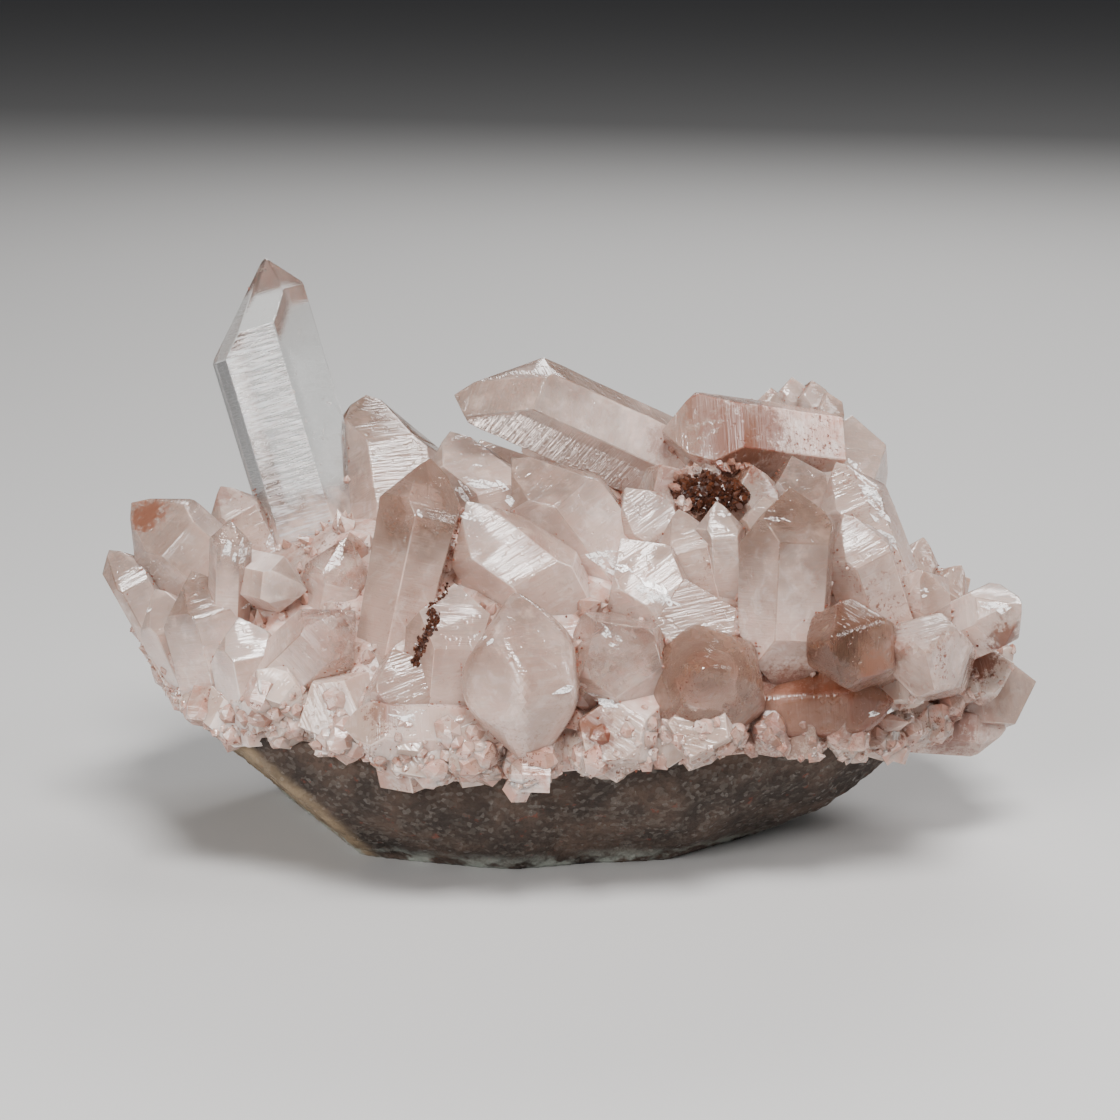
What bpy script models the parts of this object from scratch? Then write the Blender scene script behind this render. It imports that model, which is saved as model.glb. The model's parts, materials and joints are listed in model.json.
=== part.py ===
"""Himalayan quartz cluster: a mound of grown-together points on a brown granular matrix.

The specimen stands on the flat cut underside of its matrix. +Z is up, X runs along its length and
the side it is seen from looks towards -Y. The origin is the middle of its box, on the surface it
stands on. Lengths in the tables are millimetres; the meshes are metres.
"""

import math
import random
from dataclasses import dataclass, replace

import bmesh
import bpy
from mathutils import Matrix, Vector, noise

MM = 0.001

# The viewer looks down on the mound from the front. A layout place is (across, up, depth): where
# it is seen, in millimetres in the viewer's own plane, and how far back it lies along +Y.
LOOK_DOWN = math.radians(15.0)
VIEW_DISTANCE = 428.0
VIEW_CENTRE_ACROSS = -1.6
VIEW_CENTRE_UP = 49.4
VIEW_CENTRE_Z = 43.6

# Quartz: a point's six end faces slope 38.2 degrees from its long axis. The spreads say how
# unevenly it grows: its prism faces' distance from the axis and its end faces' setback are in widths.
POINT_NORMAL_TILT = math.radians(51.8)
POINT_TILT_SPREAD = 0.04
POINT_SETBACK = (0.0, 0.04)
PRISM_FACE_OFFSET = (0.46, 0.53)

# Matrix: an ellipsoid of rock cut flat below, under the crystals' crust.
MATRIX_CENTRE = Vector((-9.0, 0.0, 30.0))
MATRIX_RADII = Vector((71.0, 39.0, 38.0))
MATRIX_SEGMENTS = 44
MATRIX_RINGS = 22
MATRIX_ROUGHNESS = 1.6
MATRIX_ROUGHNESS_SCALE = 16.0
MATRIX_TOP = 24.0
SEAT_GAP = 0.3

# The crust that the crystals stand on, a low dome.
CRUST_CENTRE = Vector((-3.0, 1.0, 24.0))
CRUST_RADII = Vector((70.0, 42.0, 30.0))
CRUST_SEGMENTS = 26
CRUST_RINGS = 12
CRUST_ROUGHNESS = 4.0
CRUST_ROUGHNESS_SCALE = 13.0
CRUST_LOWER_SQUASH = 0.28

# The broken side at the left, two flat faces that meet in a ridge, cuts crust and matrix alike.
BROKEN_RIDGE = Vector((-66.0, 10.0, 15.5))
BROKEN_FACES = (
    Vector((-0.871, -0.272, -0.435)).normalized(),
    Vector((-0.638, -0.344, -0.705)).normalized(),
)
BREAKER_SIZE = 180.0


@dataclass
class Crystal:
    """One quartz point, from its root to the place where its faces meet."""

    tip: tuple
    root: tuple
    width: float
    roll: float = 0.0
    apex: tuple = (0.0, 0.0)
    lesser: float = 0.12
    stretch: float = 1.0
    taper: float = 1.0
    double: bool = False


def seen_at(across, up, depth):
    """The place that is seen at (across, up) and lies at that depth."""
    forward = Vector((0.0, math.cos(LOOK_DOWN), -math.sin(LOOK_DOWN)))
    upward = Vector((0.0, math.sin(LOOK_DOWN), math.cos(LOOK_DOWN)))
    aim = Vector((VIEW_CENTRE_ACROSS, 0.0, VIEW_CENTRE_Z))
    eye = aim - forward * VIEW_DISTANCE
    ray = (
        forward * VIEW_DISTANCE
        + Vector((1.0, 0.0, 0.0)) * (across - VIEW_CENTRE_ACROSS)
        + upward * (up - VIEW_CENTRE_UP)
    )
    return eye + ray * ((depth - eye.y) / ray.y)


# The points that give the mound its outline, from left to right and back to front.
NAMED_CRYSTALS = {
    "clear_point": Crystal((-53.5, 96.7, 12), (-35.5, 37, 2), 16.2, roll=-10, apex=(4.4, 0), lesser=0.05),
    "far_left": Crystal((-74.4, 50.8, -8), (-61, 26, -8), 9.5, roll=20),
    "left_lean": Crystal((-71, 58.6, -6), (-50, 40, -8), 13.0, roll=10, apex=(0, 1)),
    "left_sliver": Crystal((-54.9, 55.8, -23), (-55.4, 37, -20), 5.6, roll=0),
    "left_back": Crystal((-56.5, 61.3, 4), (-48, 45, 2), 9.0, roll=15),
    "left_stub": Crystal((-42.8, 44.5, -24), (-54, 47, -18), 8.0, roll=10),
    "left_column": Crystal((-61, 47.5, -19), (-54, 20, -22), 12.5, roll=25, lesser=0.2),
    "left_outer_column": Crystal((-67, 44.5, -14), (-56, 20, -18), 9.5, roll=5),
    "left_low": Crystal((-53.5, 40, -26), (-49.5, 18, -27), 9.5, roll=15, lesser=0.3),
    "left_tilted": Crystal((-34.8, 41, -33), (-51, 25.5, -27), 10.5, roll=0, stretch=0.8),
    "point_foot": Crystal((-36, 53, -19), (-41, 33, -18), 10.0, roll=12),
    "broad_shoulder": Crystal((-30.0, 76.5, 14), (-24.0, 36, -8), 17.8, roll=8, apex=(-3.3, 0)),
    "leaning_blade": Crystal((-22.4, 65.8, -20), (-31, 26.5, -30), 13.6, roll=28, taper=0.72),
    "top_point": Crystal((-16.6, 80.0, -6), (33, 57.6, 7), 13.4, roll=14, apex=(-4.2, 0.5), lesser=0.2),
    "pale_block": Crystal((-16.5, 71.0, -1), (-9, 44, -10), 16.0, roll=18, apex=(-3, 0)),
    "ridge_point": Crystal((-7.6, 67.0, -15), (11, 42.5, -16), 13.5, roll=24, apex=(-2, 0)),
    "milky_middle": Crystal((-13.5, 60.0, -23), (0, 34, -20), 17.5, roll=12, apex=(-3, 1)),
    "front_egg": Crystal((-8.9, 45.2, -37), (-6.4, 15.2, -43), 17.2, roll=26, lesser=0.1, double=True),
    "front_window": Crystal((4.4, 39.5, -41), (13.5, 23, -25), 14.0, roll=8, lesser=0.3),
    "facing_egg": Crystal((21.4, 32, -47), (23, 26, -20), 16.4, roll=16, lesser=0.05),
    "upright_smoky": Crystal(
        (35.8, 61.2, -27), (34.0, 28.0, -33), 13.6, roll=18, lesser=0.3, taper=0.92, double=True
    ),
    "small_smoky": Crystal((43.6, 36.6, -46), (48.5, 34, -22), 12.2, roll=22, apex=(-1.5, 1.5)),
    "pink_block": Crystal((57.4, 34.5, -42), (59, 33, -16), 12.0, roll=8, lesser=0.4),
    "lit_corner": Crystal((73.0, 42.5, -24), (59, 36, -12), 10.0, roll=25),
    "far_right": Crystal((75.2, 29.6, -12), (58, 27.6, -8), 13.4, roll=12, lesser=0.4),
    "right_ledge": Crystal((70.5, 22.0, -14), (48, 23.5, -14), 8.6, roll=0, stretch=0.7),
    "rusty_low": Crystal((53.0, 26.6, -33), (28, 24.8, -31), 10.8, roll=10),
    "rust_faced": Crystal((15.6, 70.4, -9), (41, 67.0, 2), 13.0, roll=20, apex=(0, 1.5), lesser=0.25),
    "right_dome": Crystal((42.5, 73.0, 5), (39, 46, 0), 18.0, roll=10, apex=(3, 0), lesser=0.3),
    "right_dome_low": Crystal((47.0, 63.0, -3), (42, 38, -6), 13.0, roll=20, apex=(2, 0)),
    "slope_upper": Crystal((43.0, 65.0, -12), (54, 36.5, -17), 11.5, roll=6),
    "slope_lower": Crystal((44.3, 56.6, -24), (52, 34, -22), 10.5, roll=18),
    "rim_upper": Crystal((57.2, 53.0, -8), (52, 38, -8), 7.6, roll=10),
    "rim_middle": Crystal((63.4, 48.6, -9), (55, 36, -9), 7.6, roll=0),
    "rim_front": Crystal((57.2, 47.4, -25), (58, 35, -15), 7.8, roll=20),
    "pocket_tooth": Crystal((23.7, 58.8, -21), (24.6, 38, -22), 8.0, roll=12),
    "pocket_tooth_left": Crystal((17.5, 57.5, -20), (22, 38, -22), 9.5, roll=0),
    "pocket_hump": Crystal((9.0, 61.0, -17), (18, 44, -12), 11.0, roll=14, lesser=0.2),
    "pocket_left": Crystal((14.6, 64.8, -14), (19, 46, -6), 8.6, roll=28, lesser=0.3),
    "pocket_back": Crystal((20.5, 66.4, -9), (22, 46, -4), 9.4, roll=4, lesser=0.3),
    "pocket_right": Crystal((29.6, 64.6, -14), (29, 46, -8), 8.4, roll=22, lesser=0.2),
    "pocket_sill": Crystal((31.5, 59.6, -19), (30, 42, -14), 7.6, roll=8, lesser=0.3),
    "smoky_hump": Crystal((36.0, 66.0, -10), (37, 44, -10), 11.0, roll=26, lesser=0.3),
    "sparkling": Crystal((8.4, 52.6, -26), (19, 34, -24), 13.0, roll=15, lesser=0.3),
    "milky_lower": Crystal((18.5, 46.0, -31), (22, 25, -28), 15.0, roll=4, lesser=0.4),
    "under_top": Crystal((-12.5, 69.5, 7), (-4, 44, 4), 16.0, roll=8, apex=(-2, 0), lesser=0.3),
    "vein_side": Crystal((-18.6, 45.5, -32), (-21, 18, -35), 12.5, roll=14, lesser=0.3),
    "blade_foot": Crystal((-28.5, 35.0, -38), (-24, 15, -35), 11.5, roll=22, lesser=0.3),
    "skirt_left": Crystal((-44.0, 22.5, -38), (-29, 28, -28), 12.0, roll=10, lesser=0.3),
    "skirt_lying": Crystal((-36.5, 22.5, -42), (-14, 21.5, -39), 9.0, roll=20, lesser=0.2),
    "skirt_middle": Crystal((-28.5, 15.2, -45), (-18, 21, -36), 9.5, roll=15, lesser=0.3),
    "skirt_under_blade": Crystal((-19.5, 15.5, -46), (-12, 22, -36), 9.0, roll=5, lesser=0.3),
    "skirt_under_egg": Crystal((-7.6, 12.8, -45), (-4, 20, -38), 7.5, roll=10, lesser=0.2),
    "skirt_right_of_egg": Crystal((3.0, 16.6, -46), (11, 24, -35), 12.0, roll=25, lesser=0.3),
    "skirt_under_facing": Crystal((19.5, 17.5, -46), (22, 25, -35), 10.5, roll=12, lesser=0.4),
}


# Points on the side turned away; their places are plain (x, y, z).
BACK_CRYSTALS = {
    "back_ridge": Crystal((-22, 30, 52), (-8, 8, 34), 15.0, roll=12, apex=(2, 0)),
    "back_spire": Crystal((8, 33, 57), (8, 10, 36), 13.5, roll=25, lesser=0.2),
    "back_block": Crystal((33, 33, 53), (24, 6, 34), 16.5, roll=6, apex=(-3, 0), lesser=0.3),
    "back_right": Crystal((55, 27, 41), (36, 4, 30), 14.0, roll=18),
    "back_left": Crystal((-46, 27, 46), (-28, 6, 32), 13.5, roll=10, lesser=0.3),
    "back_low_left": Crystal((-33, 44, 36), (-18, 14, 28), 14.0, roll=20),
    "back_low": Crystal((-4, 50, 37), (0, 16, 30), 15.0, roll=4, lesser=0.4),
    "back_low_right": Crystal((26, 46, 36), (18, 14, 28), 14.5, roll=14),
    "back_end": Crystal((58, 32, 29), (34, 12, 28), 12.0, roll=8, lesser=0.3),
    "back_corner": Crystal((-56, 24, 37), (-36, 8, 30), 11.5, roll=22),
    "behind_top": Crystal((-3, 22, 66), (4, 4, 40), 13.0, roll=16, lesser=0.3),
    "behind_dome": Crystal((43, 20, 54), (34, 2, 36), 13.0, roll=24),
}

# The striated comb behind the right shoulder: plates side by side, each a little higher or lower.
COMB_TIPS = ((29.5, 75.6, 8), (32.6, 77.2, 9), (36.0, 79.0, 10), (39.2, 78.4, 9), (41.6, 76.6, 8))
COMB_ROOT = (34.5, 52.0, 9)
COMB_WIDTH = 5.6
COMB_ROLL_STEP = 10.0
COMB_LESSER = 0.3

# Small points all over the dome, spread by the golden turn. The front's upper part has none,
# because the named ones cover it.
SMALL_COUNT = 84
SMALL_TURN = 0.618034
SMALL_HEIGHT = (0.04, 0.96)
SMALL_WIDTH = (5.0, 9.5)
SMALL_REACH = (3.5, 9.0)
SMALL_LIFT = 0.25
FRONT_SMALL_RISE = 7.0

# Small points that hang round the crust's rim.
RIM_COUNT = 58
RIM_SPREAD = 0.3
RIM_CLIMB = -0.02
RIM_RISE = (-3.5, 1.0)
RIM_WIDTH = (4.5, 8.0)
RIM_REACH = (1.5, 4.5)
RIM_LIFT = -0.45

# Both kinds: how far they lean, how deep they are rooted below a width, and how they are turned.
SMALL_LEAN = 0.45
SMALL_ROOTED = 4.0
SMALL_ROLL = (0.0, 60.0)
SMALL_LESSER = (0.1, 0.4)
SEED = 11

# Brown druse that fills a pocket under the rust-faced point.
DRUSE_PLACE = (23.0, 60.4, -15.5)
DRUSE_RADII = Vector((5.6, 3.4, 2.8))
DRUSE_SEGMENTS = 18
DRUSE_RINGS = 10
DRUSE_ROUGHNESS = 1.2
DRUSE_ROUGHNESS_SCALE = 2.6

# Base colour and roughness of each part.
MATRIX_FINISH = ((0.082, 0.053, 0.041), 0.85)
QUARTZ_FINISH = ((0.60, 0.46, 0.40), 0.25)
DRUSE_FINISH = ((0.10, 0.030, 0.017), 0.6)


def slice_off(bm, point, normal):
    """Cuts away what lies beyond a plane, and closes the cut with one flat face."""
    geometry = bm.verts[:] + bm.edges[:] + bm.faces[:]
    cut = bmesh.ops.bisect_plane(
        bm, geom=geometry, dist=1e-5, plane_co=point, plane_no=normal, clear_outer=True
    )
    edges = [item for item in cut["geom_cut"] if isinstance(item, bmesh.types.BMEdge)]
    if len(edges) > 2:
        bmesh.ops.contextual_create(bm, geom=edges)


def termination(bm, centre, width, apex, lesser, turn, upward, rng):
    """Six sloping faces that meet at a crystal's end, every other one smaller."""
    for k in range(6):
        angle = turn + k * math.pi / 3.0
        tilt = POINT_NORMAL_TILT + rng.uniform(-POINT_TILT_SPREAD, POINT_TILT_SPREAD)
        normal = Vector((
            math.cos(angle) * math.sin(tilt),
            math.sin(angle) * math.sin(tilt),
            upward * math.cos(tilt),
        ))
        back = lesser * width if k % 2 else rng.uniform(*POINT_SETBACK) * width
        meeting = Vector((centre.x + apex[0], centre.y + apex[1], centre.z))
        slice_off(bm, meeting + normal * (back * math.cos(tilt)), normal)


def crystal_mesh(crystal, name, rng):
    """A quartz point: a hexagonal block cut by its prism faces and by the faces of its ends."""
    length = (crystal.tip - crystal.root).length
    axis = (crystal.tip - crystal.root).normalized()
    towards_viewer = Vector((0.0, -math.cos(LOOK_DOWN), math.sin(LOOK_DOWN)))
    front = towards_viewer - axis * towards_viewer.dot(axis)
    front.normalize()
    side = axis.cross(front)

    start = -crystal.width if crystal.double else 0.0
    end = length + crystal.width
    bm = bmesh.new()
    bmesh.ops.create_cone(
        bm, cap_ends=True, segments=6,
        radius1=crystal.width, radius2=crystal.width, depth=end - start,
        matrix=Matrix.Translation((0.0, 0.0, (start + end) / 2.0)),
    )
    turn = math.radians(crystal.roll - 90.0)
    for k in range(6):
        angle = turn + k * math.pi / 3.0
        normal = Vector((math.cos(angle), math.sin(angle), 0.0))
        slice_off(bm, normal * crystal.width * rng.uniform(*PRISM_FACE_OFFSET), normal)
    top = Vector((0.0, 0.0, length))
    termination(bm, top, crystal.width, crystal.apex, crystal.lesser, turn, 1.0, rng)
    if crystal.double:
        foot = Vector((0.0, 0.0, 0.0))
        termination(bm, foot, crystal.width, (0.0, 0.0), crystal.lesser, turn, -1.0, rng)
    for vert in bm.verts:
        along = min(max(vert.co.z / length, 0.0), 1.0)
        narrowing = crystal.taper + (1.0 - crystal.taper) * along
        vert.co.x *= narrowing
        vert.co.y *= narrowing * crystal.stretch
    placed = Matrix((
        (side.x, -front.x, axis.x, crystal.root.x),
        (side.y, -front.y, axis.y, crystal.root.y),
        (side.z, -front.z, axis.z, crystal.root.z),
        (0.0, 0.0, 0.0, 1.0),
    ))
    bmesh.ops.transform(bm, matrix=placed, verts=bm.verts[:])
    bmesh.ops.remove_doubles(bm, verts=bm.verts[:], dist=1e-4)
    bmesh.ops.recalc_face_normals(bm, faces=bm.faces[:])
    return finished_mesh(bm, name)


def finished_mesh(bm, name):
    """Turns millimetres to metres and hands the mesh over."""
    bmesh.ops.scale(bm, vec=(MM, MM, MM), verts=bm.verts[:])
    mesh = bpy.data.meshes.new(name)
    bm.to_mesh(mesh)
    bm.free()
    return mesh


def ellipsoid(centre, radii, segments, rings):
    """A closed ball of rock before anything is cut from it."""
    bm = bmesh.new()
    bmesh.ops.create_uvsphere(bm, u_segments=segments, v_segments=rings, radius=1.0)
    for vert in bm.verts:
        vert.co = Vector((
            centre.x + vert.co.x * radii.x,
            centre.y + vert.co.y * radii.y,
            centre.z + vert.co.z * radii.z,
        ))
    return bm


def roughen(bm, centre, height, scale):
    """Pushes the surface in and out by smooth noise."""
    for vert in bm.verts:
        outward = (vert.co - centre).normalized()
        vert.co += outward * height * noise.noise(vert.co / scale)


def rock_outline():
    """A rough ball of rock, cut flat where the crust covers it."""
    bm = ellipsoid(MATRIX_CENTRE, MATRIX_RADII, MATRIX_SEGMENTS, MATRIX_RINGS)
    roughen(bm, MATRIX_CENTRE, MATRIX_ROUGHNESS, MATRIX_ROUGHNESS_SCALE)
    slice_off(bm, Vector((0.0, 0.0, MATRIX_TOP)), Vector((0.0, 0.0, 1.0)))
    return bm


def matrix_mesh():
    """The matrix: the rock broken at the left and sawn flat where it stands."""
    bm = rock_outline()
    for normal in BROKEN_FACES:
        slice_off(bm, BROKEN_RIDGE, normal)
    slice_off(bm, Vector((0.0, 0.0, 0.0)), Vector((0.0, 0.0, -1.0)))
    return finished_mesh(bm, "matrix")


def grown(bm, amount):
    """Moves every face outwards, for a seat that leaves a gap all round."""
    bm.normal_update()
    for vert in bm.verts:
        vert.co += vert.normal * amount
    return bm


def crust_mesh():
    """The milky crust: a rough dome, its lower half flattened to a rim round the matrix."""
    bm = ellipsoid(CRUST_CENTRE, CRUST_RADII, CRUST_SEGMENTS, CRUST_RINGS)
    for vert in bm.verts:
        if vert.co.z < CRUST_CENTRE.z:
            vert.co.z = CRUST_CENTRE.z + (vert.co.z - CRUST_CENTRE.z) * CRUST_LOWER_SQUASH
    roughen(bm, CRUST_CENTRE, CRUST_ROUGHNESS, CRUST_ROUGHNESS_SCALE)
    return finished_mesh(bm, "quartz_cluster")


def on_crust(around, climb):
    """A place on the crust's dome: an angle round +Z, and how far it climbs from rim to top."""
    return Vector((
        CRUST_CENTRE.x + CRUST_RADII.x * math.cos(around) * math.cos(climb),
        CRUST_CENTRE.y + CRUST_RADII.y * math.sin(around) * math.cos(climb),
        CRUST_CENTRE.z + CRUST_RADII.z * math.sin(climb),
    ))


def small_crystals(rng):
    """The many small points between and below the large ones."""
    lowest, highest = SMALL_HEIGHT
    points = []
    for k in range(SMALL_COUNT):
        around = 2.0 * math.pi * (k * SMALL_TURN % 1.0)
        climb = math.asin(lowest + (highest - lowest) * (k + 0.5) / SMALL_COUNT)
        foot = on_crust(around, climb)
        if foot.y < 0.0 and foot.z > CRUST_CENTRE.z + FRONT_SMALL_RISE:
            continue
        points.append((foot, rng.uniform(*SMALL_WIDTH), rng.uniform(*SMALL_REACH), SMALL_LIFT))
    for k in range(RIM_COUNT):
        around = 2.0 * math.pi * (k + rng.uniform(-RIM_SPREAD, RIM_SPREAD)) / RIM_COUNT
        foot = on_crust(around, RIM_CLIMB) + Vector((0.0, 0.0, rng.uniform(*RIM_RISE)))
        points.append((foot, rng.uniform(*RIM_WIDTH), rng.uniform(*RIM_REACH), RIM_LIFT))
    crystals = []
    for foot, width, reach, lift in points:
        outward = (foot - CRUST_CENTRE).normalized() + Vector((0.0, 0.0, lift))
        outward += Vector([rng.uniform(-SMALL_LEAN, SMALL_LEAN) for _ in range(3)])
        outward.normalize()
        crystals.append(Crystal(
            foot + outward * reach, foot - outward * (width + SMALL_ROOTED), width,
            roll=rng.uniform(*SMALL_ROLL), lesser=rng.uniform(*SMALL_LESSER),
        ))
    return crystals


def all_crystals():
    """Every quartz point of the cluster, by name, in plain places."""
    rng = random.Random(SEED)
    crystals = {}
    for name, crystal in NAMED_CRYSTALS.items():
        crystals[name] = replace(crystal, tip=seen_at(*crystal.tip), root=seen_at(*crystal.root))
    for name, crystal in BACK_CRYSTALS.items():
        crystals[name] = replace(crystal, tip=Vector(crystal.tip), root=Vector(crystal.root))
    for k, tip in enumerate(COMB_TIPS):
        crystals[f"comb_plate_{k + 1}"] = Crystal(
            seen_at(*tip), seen_at(*COMB_ROOT) + Vector((tip[0] - COMB_TIPS[2][0], 0.0, 0.0)),
            COMB_WIDTH, roll=COMB_ROLL_STEP * k, lesser=COMB_LESSER,
        )
    for k, crystal in enumerate(small_crystals(rng)):
        crystals[f"small_point_{k + 1:03d}"] = crystal
    return crystals


def breaker_mesh(normal):
    """A block whose one face lies on a face of the broken side, for cutting the cluster there."""
    bm = bmesh.new()
    turned = normal.to_track_quat("Z", "Y").to_matrix().to_4x4()
    lifted = Matrix.Translation(BROKEN_RIDGE + normal * BREAKER_SIZE / 2.0) @ turned
    bmesh.ops.create_cube(bm, size=BREAKER_SIZE, matrix=lifted)
    return finished_mesh(bm, "breaker")


def druse_mesh(gap):
    """The pocket's brown druse, a lumpy pad, or with a gap the pocket that it sits in."""
    centre = seen_at(*DRUSE_PLACE)
    bm = ellipsoid(centre, DRUSE_RADII, DRUSE_SEGMENTS, DRUSE_RINGS)
    roughen(bm, centre, DRUSE_ROUGHNESS, DRUSE_ROUGHNESS_SCALE)
    return finished_mesh(grown(bm, gap), "pocket_druse")


def add_object(name, mesh, collection, finish=None):
    """Places a mesh, with its own material where it has a finish, and else as a cutter."""
    placed = bpy.data.objects.new(name, mesh)
    collection.objects.link(placed)
    if finish is None:
        placed.hide_render = True
        placed.display_type = "WIRE"
        return placed
    colour, roughness = finish
    material = bpy.data.materials.new(name)
    material.use_nodes = True
    shader = material.node_tree.nodes["Principled BSDF"]
    shader.inputs["Base Color"].default_value = (*colour, 1.0)
    shader.inputs["Roughness"].default_value = roughness
    shader.inputs["Metallic"].default_value = 0.0
    mesh.materials.clear()
    mesh.materials.append(material)
    return placed


def combine(target, operation, cutter):
    """A Boolean on the target with one object, or with all of a collection."""
    modifier = target.modifiers.new(operation.lower(), "BOOLEAN")
    modifier.operation = operation
    modifier.solver = "EXACT"
    modifier.use_self = True
    if isinstance(cutter, bpy.types.Collection):
        modifier.operand_type = "COLLECTION"
        modifier.collection = cutter
    else:
        modifier.object = cutter


def shells(bm):
    """The separate closed surfaces of a mesh, each as its faces."""
    left = set(bm.faces)
    found = []
    while left:
        shell = set()
        edge_of_shell = [left.pop()]
        while edge_of_shell:
            face = edge_of_shell.pop()
            shell.add(face)
            for edge in face.edges:
                for other in edge.link_faces:
                    if other in left:
                        left.remove(other)
                        edge_of_shell.append(other)
        found.append(shell)
    return found


def fill_hollows(name, grown_together):
    """Keeps the outer surface alone, so no hollow is sealed in between the points."""
    evaluated = grown_together.evaluated_get(bpy.context.evaluated_depsgraph_get())
    bm = bmesh.new()
    bm.from_mesh(bpy.data.meshes.new_from_object(evaluated))
    outer = max(shells(bm), key=lambda shell: sum(face.calc_area() for face in shell))
    inner = [face for face in bm.faces if face not in outer]
    bmesh.ops.delete(bm, geom=inner, context="FACES")
    mesh = bpy.data.meshes.new(name)
    bm.to_mesh(mesh)
    bm.free()
    grown_together.modifiers.clear()
    grown_together.data = mesh


def new_collection(name, parent):
    """An empty collection under its parent."""
    collection = bpy.data.collections.new(name)
    parent.children.link(collection)
    return collection


def main():
    """Builds the matrix, the cluster and the druse from an empty scene."""
    for leftover in list(bpy.data.objects):
        bpy.data.objects.remove(leftover)
    scene = bpy.context.scene.collection
    parts = new_collection("himalayan_quartz_crystal", scene)
    cutters = new_collection("cutters", scene)
    points = new_collection("crystal_points", cutters)

    add_object("matrix", matrix_mesh(), parts, MATRIX_FINISH)
    cluster = add_object("quartz_cluster", crust_mesh(), parts, QUARTZ_FINISH)
    add_object("pocket_druse", druse_mesh(0.0), parts, DRUSE_FINISH)

    rng = random.Random(SEED + 1)
    for name, crystal in all_crystals().items():
        add_object(name, crystal_mesh(crystal, name, rng), points)
    seat = add_object("matrix_seat", finished_mesh(grown(rock_outline(), SEAT_GAP), "seat"), cutters)
    pocket = add_object("druse_pocket", druse_mesh(SEAT_GAP), cutters)
    combine(cluster, "UNION", points)
    for k, normal in enumerate(BROKEN_FACES):
        breaker = add_object(f"breaker_{k + 1}", breaker_mesh(normal), cutters)
        combine(cluster, "DIFFERENCE", breaker)
    combine(cluster, "DIFFERENCE", seat)
    combine(cluster, "DIFFERENCE", pocket)
    fill_hollows("quartz_cluster", cluster)


main()
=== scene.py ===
"""Looks of the quartz cluster: clear and milky points on a brown granular matrix.

Lengths in the tables are millimetres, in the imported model's frame; meshes are metres.
"""

from __future__ import annotations

import json
import logging
import math
import random
from dataclasses import dataclass, field, replace
from enum import Enum

import bmesh
import bpy
from mathutils import Matrix, Vector, noise
from mathutils.bvhtree import BVHTree

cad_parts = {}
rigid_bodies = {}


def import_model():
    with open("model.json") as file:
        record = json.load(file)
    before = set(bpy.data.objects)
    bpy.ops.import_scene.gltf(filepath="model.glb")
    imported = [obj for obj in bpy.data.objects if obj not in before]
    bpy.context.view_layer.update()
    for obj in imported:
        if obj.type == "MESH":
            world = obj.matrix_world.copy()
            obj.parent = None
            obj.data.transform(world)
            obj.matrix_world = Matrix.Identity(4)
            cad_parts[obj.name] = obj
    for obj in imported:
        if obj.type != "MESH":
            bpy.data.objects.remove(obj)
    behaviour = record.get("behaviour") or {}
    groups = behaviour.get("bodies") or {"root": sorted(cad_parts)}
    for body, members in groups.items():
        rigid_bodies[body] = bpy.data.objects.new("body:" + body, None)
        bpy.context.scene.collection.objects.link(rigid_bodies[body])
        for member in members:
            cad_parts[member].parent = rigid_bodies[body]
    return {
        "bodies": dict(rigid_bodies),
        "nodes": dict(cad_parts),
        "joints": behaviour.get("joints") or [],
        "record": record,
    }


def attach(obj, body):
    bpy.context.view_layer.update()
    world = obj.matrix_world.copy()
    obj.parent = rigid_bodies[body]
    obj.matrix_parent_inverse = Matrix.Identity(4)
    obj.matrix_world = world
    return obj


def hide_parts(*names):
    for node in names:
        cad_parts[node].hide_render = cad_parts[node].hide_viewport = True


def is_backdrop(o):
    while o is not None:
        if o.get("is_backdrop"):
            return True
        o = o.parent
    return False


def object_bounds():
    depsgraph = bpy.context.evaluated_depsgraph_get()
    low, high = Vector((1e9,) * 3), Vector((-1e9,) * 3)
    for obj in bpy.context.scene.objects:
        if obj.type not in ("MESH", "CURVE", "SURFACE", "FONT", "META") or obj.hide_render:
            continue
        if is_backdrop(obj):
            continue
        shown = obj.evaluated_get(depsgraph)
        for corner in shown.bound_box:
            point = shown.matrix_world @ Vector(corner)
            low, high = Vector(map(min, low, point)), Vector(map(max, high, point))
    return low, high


LOG = logging.getLogger("quartz")
MM = 0.001

LOOK_DOWN = math.radians(15.0)
VIEW_DISTANCE = 428.0
VIEW_CENTRE_ACROSS = -1.6
VIEW_CENTRE_UP = 49.4
VIEW_CENTRE_Z = 43.6
LENS_MM = 85.0

POINT_NORMAL_TILT = math.radians(51.8)
SEED = 11

# The broken side at the left: a point of the ridge between its two faces, and their normals.
BROKEN_RIDGE = Vector((-66.0, 10.0, 15.5))
BROKEN_FACES = (Vector((-0.871, -0.272, -0.435)).normalized(), Vector((-0.638, -0.344, -0.705)).normalized())
STEP_SPACING = 2.4
STEP_DEPTH = 0.3


def srgb(red: int, green: int, blue: int) -> tuple[float, float, float, float]:
    """Turns a colour of 0 to 255 per channel into the linear one that shaders take.

    Args:
        red: Red channel.
        green: Green channel.
        blue: Blue channel.

    Returns:
        Linear red, green, blue and an alpha of one.
    """

    def linear(channel: int) -> float:
        """Undoes the display curve for one channel."""
        share = channel / 255.0
        return share / 12.92 if share <= 0.04045 else ((share + 0.055) / 1.055) ** 2.4

    return (linear(red), linear(green), linear(blue), 1.0)


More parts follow.
